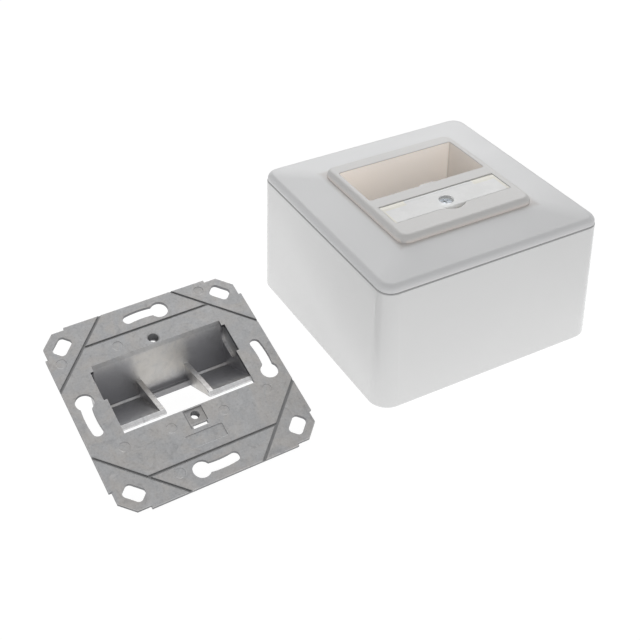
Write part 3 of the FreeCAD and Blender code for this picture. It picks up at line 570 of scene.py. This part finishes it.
    def pocket(self, sheet: NodeSheet, base: Socket, local: Socket) -> Socket:
        """Paint shade into the closed bays and the middle bay's crease, and paint light onto the middle bay's
        back wall.

        Args:
            sheet: The material's nodes.
            base: The colour before.
            local: Place in the casting's own frame.

        Returns:
            The colour after.
        """
        across, along, height = sheet.axes(local)
        side = sheet.sums("ABSOLUTE", across)
        rise = sheet.facing(self.upward)
        steep = sheet.both(sheet.spread(rise, *self.steep), sheet.spread(rise, -0.3, -0.1))
        behind_lip = sheet.both(sheet.spread(along, *self.behind_lip), steep)
        sunk = sheet.both(sheet.spread(height, *self.sunk), behind_lip)
        # Painted shade in the closed bays.
        closed = sheet.both(sunk, sheet.spread(side, *self.bay_in, 0.0, 0.92),
                            sheet.spread(side, *self.bay_out))
        between = sheet.spread(side, *self.middle_bay)
        # Patches of the painted light on the middle bay's back wall.
        smears_and_lit_patches = sheet.patches(local, (0.22, 5.0, 0.65, 1.4), 0.3, 0.65, 0.45, 0.95)
        middle = sheet.both(sheet.spread(height, *self.wall_top), behind_lip, between,
                            sheet.spread(height, *self.wall_foot), smears_and_lit_patches)
        # Painted shade along the middle bay's crease.
        crease = sheet.both(sunk, between, sheet.spread(height, *self.crease, 0.0, 0.8))
        return sheet.layered(base, (closed, self.deep), (middle, self.lit), (crease, self.deep))

    def walls(self, sheet: NodeSheet, axes: tuple[Socket, ...]) -> Socket:
        """Mask the trimmed sides of the plate and the walls of its threaded holes, where shade is painted.

        Args:
            sheet: The material's nodes.
            axes: Place along each axis of the casting.

        Returns:
            The mask.
        """
        across, along, height = axes
        upright = sheet.spread(sheet.sums("ABSOLUTE", sheet.facing(self.upward)), 0.6, 0.3)
        bored = sheet.sums("MAXIMUM", *(sheet.near(along, place, *self.bore_reach) for place in self.bores))
        hole = sheet.both(sheet.near(across, 0.0, *self.bore_reach), bored, sheet.spread(height, -0.3, -0.9))
        return sheet.sums("MAXIMUM", sheet.both(sheet.spread(height, -1.5, -1.2), upright), hole)

    def break_lines(self, sheet: NodeSheet, axes: tuple[Socket, ...]) -> Socket:
        """Mask the grooves' walls and floors, where shade is painted.

        Args:
            sheet: The material's nodes.
            axes: Place along each axis of the casting.

        Returns:
            The mask.
        """
        side, fore = (sheet.sums("ABSOLUTE", axis) for axis in axes[:2])
        diagonal = sheet.near(sheet.sums("ADD", side, fore), self.diagonal, 0.5, 0.95)
        straight = sheet.both(sheet.near(fore, self.straight, 0.36, 0.68),
                              sheet.spread(side, *self.straight_ends))
        return sheet.both(sheet.sums("MAXIMUM", diagonal, straight), sheet.near(axes[2], -0.3, 0.36, 0.42))


@dataclass(frozen=True)
class PlatedSteel:
    """Bright zinc-plated steel with turning marks round the screw's axis, painted shade in its cross recess
    and a faint painted glow.

    Attributes:
        name: The material's name.
        axis: A point of the screw's axis, in millimetres.
        crown: Height of the head's top over it.
        colour: Its main colour.
        dull_and_shade: Colour of the darker random patches.
        deep: Painted shade down in the cross recess.
        recess: How far from the axis the recess's painted shade is full, and where it ends.
        rings: Fineness of the turning marks.
        glow: How much light of its own stands for what the pane lets in.
    """

    name: str
    axis: Point
    crown: float
    colour: Colour = (0.86, 0.92, 0.99)
    dull_and_shade: Colour = (0.66, 0.73, 0.83)
    deep: Colour = (0.26, 0.29, 0.33)
    recess: Pair = (1.7, 1.9)
    rings: float = 42.0
    glow: float = 0.16

    def material(self) -> Material:
        """Build the material.

        Returns:
            The material.
        """
        sheet = NodeSheet.new(self.name)
        local = sheet.mapped(self.axis)
        radius = sheet.radius(local)
        rings = sheet.sums("SINE", sheet.sums("MULTIPLY", radius, self.rings))
        # Painted shade down in the cross recess.
        recess = sheet.both(sheet.near(radius, 0.0, *self.recess),
                            sheet.spread(sheet.axes(local)[2], self.crown - 0.05, self.crown - 0.2))
        plate = sheet.blend(sheet.patches(local, (1.4, 3.0, 0.6), 0.4, 0.7), self.colour, self.dull_and_shade)
        base = sheet.blend(recess, plate, self.deep)
        rough = sheet.patches(local, (3.0, 3.0), 0.3, 0.7, 0.34, 0.5)
        height_map = sheet.blend(0.5, sheet.noise(local, 9.0, 2.0), rings)
        # Faint painted glow on the head, from the emission.
        return sheet.principled(Base_Color=base, Metallic=1.0, Roughness=rough, Emission_Color=base,
                                Emission_Strength=self.glow, Normal=sheet.bump(height_map, 0.25, 0.02))


@dataclass(frozen=True)
class ClearWindow:
    """Hazy clear plastic that takes the label's white, clearer over the screw, with painted cream light
    beside the label and at its rear corners.

    Attributes:
        name: The material's name.
        colour: Colour over the label.
        edge_refraction_light: Painted cream light, from the pane's edges, on the margins beside the label and
            at the rear corners.
        bead_tone: Colour share of the label's colour over the bead.
        milk: How much the pane covers.
        sides: How much its cut sides cover.
        over_screw: How much it covers over the screw.
        screw: Where the screw's middle shows on the pane.
        screw_reach: How far from there the pane is surely clear, and at most.
        margins: The label's left and right edges.
        bead: How much the bead and the tongue cover.
        bead_y: Where the bead starts, in millimetres.
        corner_y: How far before the bead the painted cream light at the corners starts and is full.
        label_half: Half the width over which the label reaches the bead.
    """

    name: str
    colour: Colour = (0.97, 0.97, 0.962)
    edge_refraction_light: Colour = (0.99, 0.96, 0.86)
    bead_tone: float = 0.86
    milk: float = 0.88
    sides: float = 0.85
    over_screw: float = 0.14
    screw: Point = (-0.4, -12.5, 51.0)
    screw_reach: Pair = (1.9, 3.2)
    margins: Pair = (-21.9, 21.4)
    bead: float = 0.96
    bead_y: float = -7.9
    corner_y: Pair = (1.3, 1.0)
    label_half: float = 13.4

    def material(self) -> Material:
        """Build the material.

        Returns:
            The material.
        """
        sheet = NodeSheet.new(self.name)
        place = sheet.place()
        across, along, _ = sheet.spot()
        hinge = sheet.spread(along, self.bead_y - 0.1, self.bead_y + 0.1)
        ends = sheet.spread(sheet.sums("ABSOLUTE", across), self.label_half, self.label_half + 0.3)
        beside = sheet.sums("MAXIMUM", *(sheet.spread(across, edge, edge + way)
                                         for edge, way in zip(self.margins, (-0.2, 0.2))))
        corners = sheet.spread(along, *(self.bead_y - before for before in self.corner_y))
        label = sheet.blend(hinge, self.colour, scaled(self.colour, self.bead_tone))
        # Painted cream light beside the label and at its rear corners.
        base = sheet.blend(sheet.sums("MAXIMUM", beside, sheet.both(corners, ends)), label, self.edge_refraction_light)
        shows = sheet.near(sheet.radius(sheet.mapped(self.screw)), 0.0, *self.screw_reach)
        level = sheet.sums("ABSOLUTE", sheet.facing(UP))
        haze = sheet.patches(place, (150.0, 3.0, 0.6), 0.35, 0.7, -0.02, 0.03)
        pane = sheet.sums("ADD", sheet.spread(level, 0.9, 0.35, self.milk, self.sides), haze)
        seen = sheet.sums("MINIMUM", pane, sheet.spread(shows, 0.0, 1.0, 1.0, self.over_screw))
        alpha = sheet.sums("MAXIMUM", seen, sheet.sums("MULTIPLY", hinge, self.bead))
        smears_and_lit_patches = sheet.patches(place, (60.0, 3.0, 0.5, 1.0), 0.4, 0.75, 0.08, 0.16)
        return sheet.principled(Base_Color=base, Roughness=smears_and_lit_patches, IOR=1.5, Alpha=alpha,
                                Normal=sheet.bump(sheet.noise(place, 95.0, 2.0), 0.08, 0.1))


@dataclass(frozen=True)
class LabelPaper:
    """Thin matt label card with its fibres.

    Attributes:
        name: The material's name.
        colour: Its linear colour.
        fibre_tone: Colour share between the fibres.
    """

    name: str
    colour: Colour = (0.96, 0.963, 0.96)
    fibre_tone: float = 0.97

    def material(self) -> Material:
        """Build the material.

        Returns:
            The material.
        """
        sheet = NodeSheet.new(self.name)
        fibres = sheet.noise(sheet.place(), 900.0, 4.0, 0.65, 2.5)
        base = sheet.blend(sheet.spread(fibres, 0.3, 0.75), scaled(self.colour, self.fibre_tone), self.colour)
        return sheet.principled(Base_Color=base, Roughness=0.85, Normal=sheet.bump(fibres, 0.3, 0.03))


# Pieces and their dressing
class Piece:
    """A new mesh that rides on a body, shaped with bmesh operators in millimetres."""

    def __init__(self, name: str) -> None:
        """Start an empty mesh.

        Args:
            name: The piece's name.
        """
        self.name = name
        self.mesh = bmesh.new()

    def wire(self, points: list[Point], closed: bool) -> list[bmesh.types.BMEdge]:
        """Join points by edges.

        Args:
            points: The points, in order.
            closed: Whether the last joins the first.

        Returns:
            The edges.
        """
        verts = [self.mesh.verts.new(point) for point in points]
        pairs = list(zip(verts, verts[1:] + verts[:1] if closed else verts[1:]))
        return [self.mesh.edges.new(pair) for pair in pairs]

    def turned(self, profile: list[Pair], steps: int) -> None:
        """Spin a profile of radius and height round the Z axis.

        Args:
            profile: Pairs of radius and height, in millimetres.
            steps: Faces round the turn.
        """
        edges = self.wire([(radius, 0.0, height) for radius, height in profile], closed=False)
        verts = {vert for edge in edges for vert in edge.verts}
        bmesh.ops.spin(self.mesh, geom=list(verts) + edges, cent=(0, 0, 0), axis=(0, 0, 1),
                       dvec=(0, 0, 0), angle=FULL_TURN, steps=steps, use_merge=True, use_duplicate=False)
        bmesh.ops.remove_doubles(self.mesh, verts=self.mesh.verts, dist=1e-5)
        self.outward()

    def helix(self, section: list[Pair], pitch: float, turns: float, steps: int) -> None:
        """Sweep a closed section round the Z axis while it rises.

        Args:
            section: Pairs of radius and height, in millimetres.
            pitch: Rise in one turn.
            turns: How many turns.
            steps: Faces round one turn.
        """
        edges = self.wire([(radius, 0.0, height) for radius, height in section], closed=True)
        verts = list({vert for edge in edges for vert in edge.verts})
        foot = bmesh.ops.contextual_create(self.mesh, geom=edges)["faces"]
        count = round(turns * steps)
        bmesh.ops.spin(self.mesh, geom=verts + edges + foot, cent=(0, 0, 0), axis=(0, 0, 1),
                       dvec=(0, 0, pitch / steps), angle=FULL_TURN * turns, steps=count,
                       use_merge=False, use_duplicate=False)
        self.outward()

    def sheet(self, outline: list[Pair], hole: tuple[float, float, float],
              low: float, high: float) -> None:
        """Make a flat card with a round hole.

        Args:
            outline: Corners of the card.
            hole: The hole's centre and radius.
            low: The card's lower level.
            high: Its upper level.
        """
        edges = self.wire([(x, y, low) for x, y in outline], closed=True)
        ring = bmesh.ops.create_circle(self.mesh, segments=64, radius=hole[2], cap_ends=False,
                                       matrix=Matrix.Translation((hole[0], hole[1], low)))
        edges += list({edge for vert in ring["verts"] for edge in vert.link_edges})
        filled = bmesh.ops.triangle_fill(self.mesh, use_beauty=True, use_dissolve=False, edges=edges)
        faces = [item for item in filled["geom"] if isinstance(item, bmesh.types.BMFace)]
        self.extruded(faces, (0, 0, high - low))
        self.outward()

    def extruded(self, faces: list[bmesh.types.BMFace], reach: Point) -> None:
        """Extrude faces by a vector in millimetres."""
        raised = bmesh.ops.extrude_face_region(self.mesh, geom=faces, use_keep_orig=True)["geom"]
        ends = [item for item in raised if isinstance(item, bmesh.types.BMVert)]
        bmesh.ops.translate(self.mesh, verts=ends, vec=reach)

    def outward(self) -> None:
        """Turn all normals outwards."""
        bmesh.ops.recalc_face_normals(self.mesh, faces=self.mesh.faces)

    def placed(self, matrix: Matrix) -> None:
        """Move the whole mesh by a matrix in millimetres."""
        bmesh.ops.transform(self.mesh, matrix=matrix, verts=self.mesh.verts)

    def take(self, data: bpy.types.Mesh) -> None:
        """Add a finished mesh to this one and remove it."""
        self.mesh.from_mesh(data)
        bpy.data.meshes.remove(data)

    def data(self) -> bpy.types.Mesh:
        """Turn the mesh into mesh data and free it.

        Returns:
            The data.
        """
        data = bpy.data.meshes.new(self.name)
        self.mesh.to_mesh(data)
        self.mesh.free()
        return data

    def done(self, material: Material, body: Body, slot: Slot) -> Object:
        """Turn the mesh into an object in metres that rides on a body.

        Args:
            material: Its finish.
            body: The body that it moves with.
            slot: The record's slot for it; not used.

        Returns:
            The object.
        """
        bmesh.ops.scale(self.mesh, vec=(MM, MM, MM), verts=self.mesh.verts)
        data = self.data()
        made = linked(self.name, data)
        data.materials.append(material)
        data.shade_smooth()
        data.set_sharp_from_angle(angle=math.radians(SMOOTH_BELOW))
        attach(made, body.value)
        LOG.info("piece %s: %d faces", self.name, len(data.polygons))
        return made


def linked(name: str, data: bpy.types.ID) -> Object:
    """Put data into the scene.

    Args:
        name: The object's name.
        data: Its mesh, light or camera.

    Returns:
        The object.
    """
    made = bpy.data.objects.new(name, data)
    bpy.context.scene.collection.objects.link(made)
    return made


def carved(blank: Piece, cutter: Piece) -> bpy.types.Mesh:
    """Cut one piece out of another.

    Args:
        blank: The piece that is cut.
        cutter: The piece that is cut away.

    Returns:
        What is left.
    """
    target, tool = linked(blank.name, blank.data()), linked(cutter.name, cutter.data())
    step = target.modifiers.new("cut", "BOOLEAN")
    step.operation, step.solver, step.object = "DIFFERENCE", "EXACT", tool
    step.use_self = True
    graph = bpy.context.evaluated_depsgraph_get()
    left = bpy.data.meshes.new_from_object(target.evaluated_get(graph))
    for spare in (target, tool):
        data = spare.data
        bpy.data.objects.remove(spare)
        bpy.data.meshes.remove(data)
    return left


def dress(node: Object, material: Material) -> None:
    """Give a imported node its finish.

    Args:
        node: The node's object.
        material: Its finish.
    """
    node.data.materials.clear()
    node.data.materials.append(material)
    LOG.info("node %s: %s", node.name, material.name)


# Sub-assemblies
@dataclass
class Enclosure:
    """The housing, the cover frame and the centre plate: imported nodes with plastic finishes.

    Attributes:
        housing: The housing's finish.
        frame: The cover frame's finish.
        plate: The centre plate's finish.
    """

    housing: MouldedPlastic = MouldedPlastic("housing_white", (0.800, 0.800, 0.797), 0.17, 0.05, 0.3)
    frame: MouldedPlastic = FramePlastic("frame_white", (0.785, 0.787, 0.792), 0.32, 0.1, 0.5)
    plate: MouldedPlastic = PlatePlastic("plate_white", (0.72, 0.71, 0.697), 0.32, 0.1, 0.45)

    def build(self, nodes: Nodes) -> None:
        """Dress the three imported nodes, which are given by name."""
        for name, finish in (("surface_housing", self.housing), ("cover_frame", self.frame),
                             ("centre_plate", self.plate)):
            dress(nodes[name], finish.material())


@dataclass
class LabelField:
    """The clear window and the card below it.

    Attributes:
        card_low: The card's lower left front corner.
        card_high: Its upper right rear corner.
        notch: Where the cut at each rear corner ends, and its depth.
        screw_y: Place of the screw's hole along the Y axis.
        hole_radius: Radius of that hole.
        pane_end_low: Lower corner of the pane's flat end over its bead.
        pane_end_high: Its upper corner.
        pane_end_edge: Size of its bevelled edges.
        window: The window's finish.
        paper: The card's finish.
    """

    card_low: Point = (-21.9, -16.7, 50.0)
    card_high: Point = (21.4, -7.95, 50.22)
    notch: Pair = (13.4, 1.1)
    screw_y: float = -11.35
    hole_radius: float = 3.0
    pane_end_low: Point = (-22.6, -7.6, 50.95)
    pane_end_high: Point = (22.6, -6.3, 51.53)
    pane_end_edge: float = 0.08
    window: ClearWindow = ClearWindow("window_clear")
    paper: LabelPaper = LabelPaper("label_paper")

    def pane_end(self) -> Piece:
        """Make the pane's flat end, which lies over its hinge bead.

        Returns:
            The piece.
        """
        low, high = self.pane_end_low, self.pane_end_high
        end = Piece("window_pane_end")
        middle = [(first + last) / 2 for first, last in zip(low, high)]
        size = [last - first for first, last in zip(low, high)]
        place = Matrix.Translation(middle) @ Matrix.Diagonal((*size, 1.0))
        bmesh.ops.create_cube(end.mesh, size=1.0, matrix=place)
        bmesh.ops.bevel(end.mesh, geom=end.mesh.edges[:], offset=self.pane_end_edge, affect="EDGES",
                        segments=2, profile=0.5, material=-1)
        end.outward()
        return end

    def outline(self) -> list[Pair]:
        """Work out the card's corners, with the two rear ones cut."""
        (left, front, _), (right, rear, _), (inner, depth) = self.card_low, self.card_high, self.notch
        return [(left, front), (right, front), (right, rear - depth), (inner, rear - depth),
                (inner, rear), (-inner, rear), (-inner, rear - depth), (left, rear - depth)]

    def build(self, nodes: Nodes) -> None:
        """Dress the window and build the card.

        Args:
            nodes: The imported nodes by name.
        """
        clear = self.window.material()
        dress(nodes["label_window"], clear)
        self.pane_end().done(clear, Body.WINDOW, Slot.WINDOW)
        card = Piece("label_card_cut")
        hole = (0.0, self.screw_y, self.hole_radius)
        card.sheet(self.outline(), hole, self.card_low[2], self.card_high[2])
        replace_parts(card.done(self.paper.material(), Body.ROOT, Slot.CARD), "label_card")


@dataclass(frozen=True)
class Thread:
    """A thread that winds down round an axis along Z.

    Attributes:
        name: The piece's name.
        root: Radius of its foot.
        crest: Radius of its crest.
        pitch: Its rise in one turn.
        top: Level at which it starts.
        end: Level at which it ends.
        along: Place of its axis along Y.
        foot: Half its foot's height, as a share of the pitch.
        flat: The crest's share of that height.
        steps: Faces round one turn.
    """

    name: str
    root: float
    crest: float
    pitch: float
    top: float
    end: float
    along: float = 0.0
    foot: float = 0.42
    flat: float = 0.12
    steps: int = 24

    def wound(self) -> Piece:
        """Wind the thread.

        Returns:
            The piece.
        """
        piece = Piece(self.name)
        half = self.pitch * self.foot
        flat = half * self.flat
        section = [(self.root, -half), (self.crest, -flat), (self.crest, flat), (self.root, half)]
        piece.helix(section, -self.pitch, (self.top - self.end) / self.pitch, self.steps)
        piece.placed(Matrix.Translation((0.0, self.along, self.top)))
        return piece


@dataclass
class CrossScrew:
    """A pan head screw with a cross recess and a rolled thread.

    Attributes:
        name: The piece's name.
        place: Where the underside of its head lies.
        shank: The shank's core radius.
        crest: The thread's outer radius.
        pitch: The thread's rise in one turn.
        length: The shank's length.
        head: The head's radius.
        head_height: Its height.
        start: How far below the head the thread starts.
        runout: How far before the tip it ends.
        sunk: How far its foot lies in the shank.
        dome: Share of the head's radius and drop below its top, from the middle to the rim.
        neck: How far the shank widens under the head, and over what length.
        tip: Share of the shank's radius at its tip, and over what length it narrows.
        cross_size: The recess's arm from the axis, half its width, and its depth.
        cross_over: How far the cutter stands over the head.
        cross_taper: The recess's share of its size at its floor.
        steps: Faces round the head.
    """

    name: str
    place: Point
    shank: float
    crest: float
    pitch: float
    length: float
    head: float
    head_height: float
    start: float
    runout: float = 1.0
    sunk: float = 0.08
    dome: tuple[Pair, ...] = ((0.0, 0.0), (0.62, 0.01), (0.8, 0.07), (0.92, 0.22), (0.985, 0.45), (1.0, 0.7))
    neck: Pair = (0.12, 0.15)
    tip: Pair = (0.55, 0.9)
    cross_size: Point = (1.6, 0.36, 0.95)
    cross_over: float = 0.25
    cross_taper: float = 0.4
    steps: int = 48

    def head_profile(self) -> list[Pair]:
        """Work out the head's and the core's pairs of radius and height, from the crown to the tip."""
        return [*((self.head * share, self.head_height - drop) for share, drop in self.dome),
                (self.head, 0.12), (self.head * 0.97, 0.0), (self.shank + self.neck[0], 0.0),
                (self.shank, -self.neck[1]), (self.shank, self.tip[1] - self.length),
                (self.shank * self.tip[0], 0.02 - self.length), (0.0, -self.length)]

    def cross(self) -> Piece:
        """Make a tapered cross that stands over the head.

        Returns:
            The cross, to be cut away.
        """
        cross = Piece(f"{self.name}_cross")
        reach, width, depth = self.cross_size
        size = Matrix.Diagonal((2 * reach, 2 * width, depth + self.cross_over, 1.0))
        rise = Matrix.Translation((0, 0, self.head_height + (self.cross_over - depth) / 2))
        for turn in (0.0, math.pi / 2):
            place = rise @ Matrix.Rotation(turn, 4, "Z") @ size
            arm = bmesh.ops.create_cube(cross.mesh, size=1.0, matrix=place)["verts"]
            floor = [vert for vert in arm if vert.co.z < self.head_height]
            bmesh.ops.scale(cross.mesh, vec=(self.cross_taper, self.cross_taper, 1.0), verts=floor)
        return cross

    def build(self) -> Object:
        """Build the screw.

        Returns:
            The screw's object, which rides on the root.
        """
        blank = Piece(f"{self.name}_blank")
        blank.turned(self.head_profile(), self.steps)
        screw = Piece(self.name)
        screw.take(carved(blank, self.cross()))
        thread = Thread(f"{self.name}_thread", self.shank - self.sunk, self.crest, self.pitch,
                        top=-self.start, end=self.runout - self.length)
        screw.take(thread.wound().data())
        screw.placed(Matrix.Translation(self.place))
        steel = PlatedSteel(f"{self.name}_steel", self.place, self.head_height)
        return screw.done(steel.material(), Body.ROOT, Slot.SCREW)


@dataclass
class ModuleCarrier:
    """The die-cast carrier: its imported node, the threads in its two holes and its cast fillets.

    Attributes:
        origin: Origin of the carrier's own frame, with its top face on z = 0.
        turn: Its Euler angles in degrees.
        threads: The threads in its two holes.
        bay: Where the closed bays start and end, from the middle.
        crease: Place and level of the line where a bay's back wall meets its floor.
        floor_slope: Slope of the bays' floors in degrees.
        back_slope: Slope of their back walls.
        fillet: How far the cast fillet reaches up each of the two.
        fillet_round: Share of it that is rounded.
        fillet_steps: Faces across the round.
        fillet_root: How far the fillet lies in the casting behind it.
        fillet_drop: How far it is let down.
        fillet_over: How far its ends reach past the bay.
    """

    origin: Point = (-100.2, -13.65, 13.1713)
    turn: Point = (20.3128, 0.0, 2.3)
    threads: tuple[Thread, ...] = (
        Thread("rear_thread", 1.71, 1.43, 0.7, -0.9, -4.45, along=20.1, foot=0.4, flat=0.2, steps=32),
        Thread("front_thread", 1.51, 1.23, 0.7, -0.85, -3.1, along=-11.35, foot=0.4, flat=0.2, steps=32),
    )
    bay: Pair = (9.35, 22.6)
    crease: Pair = (8.9, -14.6)
    floor_slope: float = 44.2
    back_slope: float = 59.21
    fillet: float = 1.3
    fillet_round: float = 0.98
    fillet_steps: int = 10
    fillet_root: float = 0.4
    fillet_drop: float = 0.03
    fillet_over: float = 0.1

    def frame(self) -> Matrix:
        """Work out the matrix from the carrier's frame to the row's, in millimetres."""
        angles = Euler([math.radians(angle) for angle in self.turn], "XYZ")
        return Matrix.Translation(self.origin) @ angles.to_matrix().to_4x4()

    def crease_fillet(self, name: str, left: float, right: float) -> Piece:
        """Make the cast fillet between a bay's back wall and its floor.

        Args:
            name: The piece's name.
            left: Where it starts along the carrier's X axis.
            right: Where it ends.

        Returns:
            The piece, in the row's frame.
        """
        strip = Piece(name)
        along, height = self.crease
        back, floor = math.radians(self.back_slope), math.radians(self.floor_slope)
        section = [(along, height)]
        for slope, way in ((floor, -1), (back, 1)):
            run, lift = self.fillet * math.cos(slope), self.fillet * math.sin(slope)
            edge = Vector((along + way * run, height + lift))
            sunk = edge + self.fillet_root * Vector((way * math.sin(slope), -math.cos(slope)))
            section += [edge, sunk] if way < 0 else [sunk, edge]
        edges = strip.wire([(left, y, z) for y, z in section], closed=True)
        face = bmesh.ops.contextual_create(strip.mesh, geom=edges)["faces"]
        strip.extruded(face, (right - left, 0, 0))
        inner = [edge for edge in strip.mesh.edges
                 if all(abs(vert.co.y - along) + abs(vert.co.z - height) < 1e-4 for vert in edge.verts)]
        bmesh.ops.bevel(strip.mesh, geom=inner, offset=self.fillet * self.fillet_round, offset_type="OFFSET",
                        affect="EDGES", segments=self.fillet_steps, profile=0.5, material=-1,
                        clamp_overlap=False)
        bmesh.ops.remove_doubles(strip.mesh, verts=strip.mesh.verts, dist=1e-4)
        strip.outward()
        strip.placed(self.frame() @ Matrix.Translation((0.0, 0.0, -self.fillet_drop)))
        return strip

    def build(self, nodes: Nodes) -> None:
        """Dress the casting and add its threads and fillets.

        Args:
            nodes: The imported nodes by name.
        """
        upward = tuple(self.frame().to_3x3() @ Vector(UP))
        metal = DieCastZinc("cast_zinc", self.origin, self.turn, upward).material()
        dress(nodes["module_carrier"], metal)
        for thread in self.threads:
            piece = thread.wound()
            piece.placed(self.frame())
            piece.done(metal, Body.ROOT, Slot.CASTING)
        inner, outer = self.bay[0] - self.fillet_over, self.bay[1] + self.fillet_over
        for name, left, right in (("left_bay_fillet", -outer, -inner), ("right_bay_fillet", inner, outer)):
            self.crease_fillet(name, left, right).done(metal, Body.ROOT, Slot.CASTING)


# Studio
@dataclass
class Studio:
    """Pale floor, soft light and the camera at the photograph's angle.

    Attributes:
        lens: Focal length on the sensor.
        sensor: The sensor's width.
        shift: The lens's shift, sideways and up.
        eye: The camera's place in millimetres.
        azimuth: Where it looks, in degrees from +Y towards +X.
        dip: How far it looks down.
        roll: Its roll.
        clip: Its nearest and farthest distance in metres.
        horizon: Light of the surround low down.
        zenith: Light of the surround overhead.
        heights: Rise of the look at which the one starts to turn into the other, and ends.
        glossy: How far a glossy ray sees the surround white.
        floor_size: Side of the floor in metres.
        floor_colour: Its linear colour.
        floor_seen: Light of the floor as the camera sees it.
        floor_glow: Share of that light for other rays and for the camera.
        pool: Light of the floor near the object and far from it.
        pool_reach: Distances between which the one turns into the other.
        pool_middle: Where the lighter part of the floor is centred.
        aim: What the lamp looks at, in metres.
    """

    lens: float = 59.0102
    sensor: float = 36.0
    shift: Pair = (-0.0008, 0.0012)
    eye: Point = (-178.9955, -257.0195, 233.9309)
    azimuth: float = 28.11064
    dip: float = 37.81676
    roll: float = -0.78734
    clip: Pair = (0.01, 50.0)
    horizon: Colour = (0.85, 0.855, 0.86)
    zenith: Colour = (0.305, 0.305, 0.305)
    heights: Pair = (0.1, 0.95)
    glossy: float = 0.5
    floor_size: float = 8.0
    floor_colour: Colour = (0.82, 0.82, 0.82)
    floor_seen: float = 1.13
    floor_glow: Pair = (0.62, 0.84)
    pool: Pair = (1.5, 0.6)
    pool_reach: Pair = (70.0, 260.0)
    pool_middle: Point = (-22.0, 4.0, 0.0)
    aim: Point = (-0.03, -0.01, 0.03)

    def camera(self) -> None:
        """Set the camera at the photograph's viewing angle."""
        data = bpy.data.cameras.new("camera")
        data.sensor_fit, data.sensor_width, data.lens = "AUTO", self.sensor, self.lens
        data.shift_x, data.shift_y = self.shift
        data.clip_start, data.clip_end = self.clip
        made = linked("camera", data)
        turn = (Matrix.Rotation(-math.radians(self.azimuth), 3, "Z")
                @ Matrix.Rotation(math.pi / 2 - math.radians(self.dip), 3, "X")
                @ Matrix.Rotation(math.radians(self.roll), 3, "Z"))
        made.matrix_world = Matrix.Translation(Vector(self.eye) * MM) @ turn.to_4x4()
        bpy.context.scene.camera = made

    def world(self) -> None:
        """Make a white surround that lights softly, paler at the horizon than overhead."""
        world = bpy.data.worlds.new("surround")
        bpy.context.scene.world = world
        sheet = NodeSheet(world)
        rise = sheet.axes(sheet.node("ShaderNodeTexCoord").outputs["Generated"])[2]
        tint = sheet.blend(sheet.spread(rise, *self.heights), self.horizon, self.zenith)
        light, seen = (sheet.node("ShaderNodeBackground", {"Color": colour}).outputs["Background"]
                       for colour in (tint, (1.0, 1.0, 1.0)))
        path = sheet.node("ShaderNodeLightPath").outputs
        glossy = sheet.sums("MULTIPLY", path["Is Glossy Ray"], self.glossy)
        through = sheet.sums("MAXIMUM", path["Is Camera Ray"], path["Is Transmission Ray"])
        share = sheet.sums("MAXIMUM", glossy, through)
        sheet.shown(sheet.node("ShaderNodeMixShader", {"Fac": share, 1: light, 2: seen}).outputs["Shader"])

    def floor(self) -> None:
        """Lay a plain floor that shows white, lights the walls and keeps a faint shadow."""
        shape = Piece("floor")
        bmesh.ops.create_grid(shape.mesh, x_segments=1, y_segments=1, size=self.floor_size / 2)
        data = shape.data()
        made = linked("floor", data)
        sheet = NodeSheet.new("floor_white")
        matt = sheet.node("ShaderNodeBsdfDiffuse", {"Color": self.floor_colour}).outputs["BSDF"]
        centred = sheet.mapped(self.pool_middle)
        reach = sheet.node("ShaderNodeVectorMath", {0: centred}, operation="LENGTH").outputs["Value"]
        near = sheet.spread(reach, *self.pool_reach, *self.pool)
        camera = sheet.node("ShaderNodeLightPath").outputs["Is Camera Ray"]
        strength = sheet.sums("ADD", sheet.both(near, sheet.sums("SUBTRACT", 1.0, camera)),
                              sheet.sums("MULTIPLY", camera, self.floor_seen))
        glow = sheet.node("ShaderNodeEmission", {"Strength": strength}).outputs["Emission"]
        share = sheet.spread(camera, 0.0, 1.0, *self.floor_glow)
        mixed = sheet.node("ShaderNodeMixShader", {"Fac": share, 1: matt, 2: glow})
        data.materials.append(sheet.shown(mixed.outputs["Shader"]))

    def lamp(self, name: str, place: Point, size: float, power: float) -> None:
        """Add a soft square lamp that looks at the box.

        Args:
            name: The lamp's name.
            place: Its place in metres.
            size: Its side in metres.
            power: Its power in watts.
        """
        data = bpy.data.lights.new(name, "AREA")
        data.shape, data.size, data.energy = "SQUARE", size, power
        made = linked(name, data)
        made.location = place
        made.rotation_euler = (Vector(self.aim) - Vector(place)).to_track_quat("-Z", "Y").to_euler()
        made.visible_camera = False

    def build(self) -> None:
        """Build the whole studio."""
        bpy.context.scene.view_settings.view_transform = "Standard"
        self.camera()
        self.world()
        self.floor()
        self.lamp("back_softbox", (0.53, 0.95, 0.71), 0.9, 4.9)


def main() -> None:
    """Build the scene, sub-assembly by sub-assembly."""
    logging.basicConfig(level=logging.INFO, format="%(name)s %(message)s")
    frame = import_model()
    nodes = frame["nodes"]
    Enclosure().build(nodes)
    LabelField().build(nodes)
    cover_screw = CrossScrew("cover_screw_cut", (0.0, -11.35, 48.6), shank=1.22, crest=1.45, pitch=0.5,
                             length=16.9, head=2.8, head_height=1.5, start=3.0)
    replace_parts(cover_screw.build(), "cover_screw")
    parked = [CrossScrew(f"carrier_screw_{side}", (across, 0.0, 34.5), shank=1.0, crest=1.4, pitch=1.1,
                         length=15.0, head=2.7, head_height=1.8, start=2.0).build()
              for side, across in (("left", -30.0), ("right", 30.0))]
    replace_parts(parked[0], "carrier_screws")
    ModuleCarrier().build(nodes)
    Studio().build()


if __name__ == "__main__":
    main()
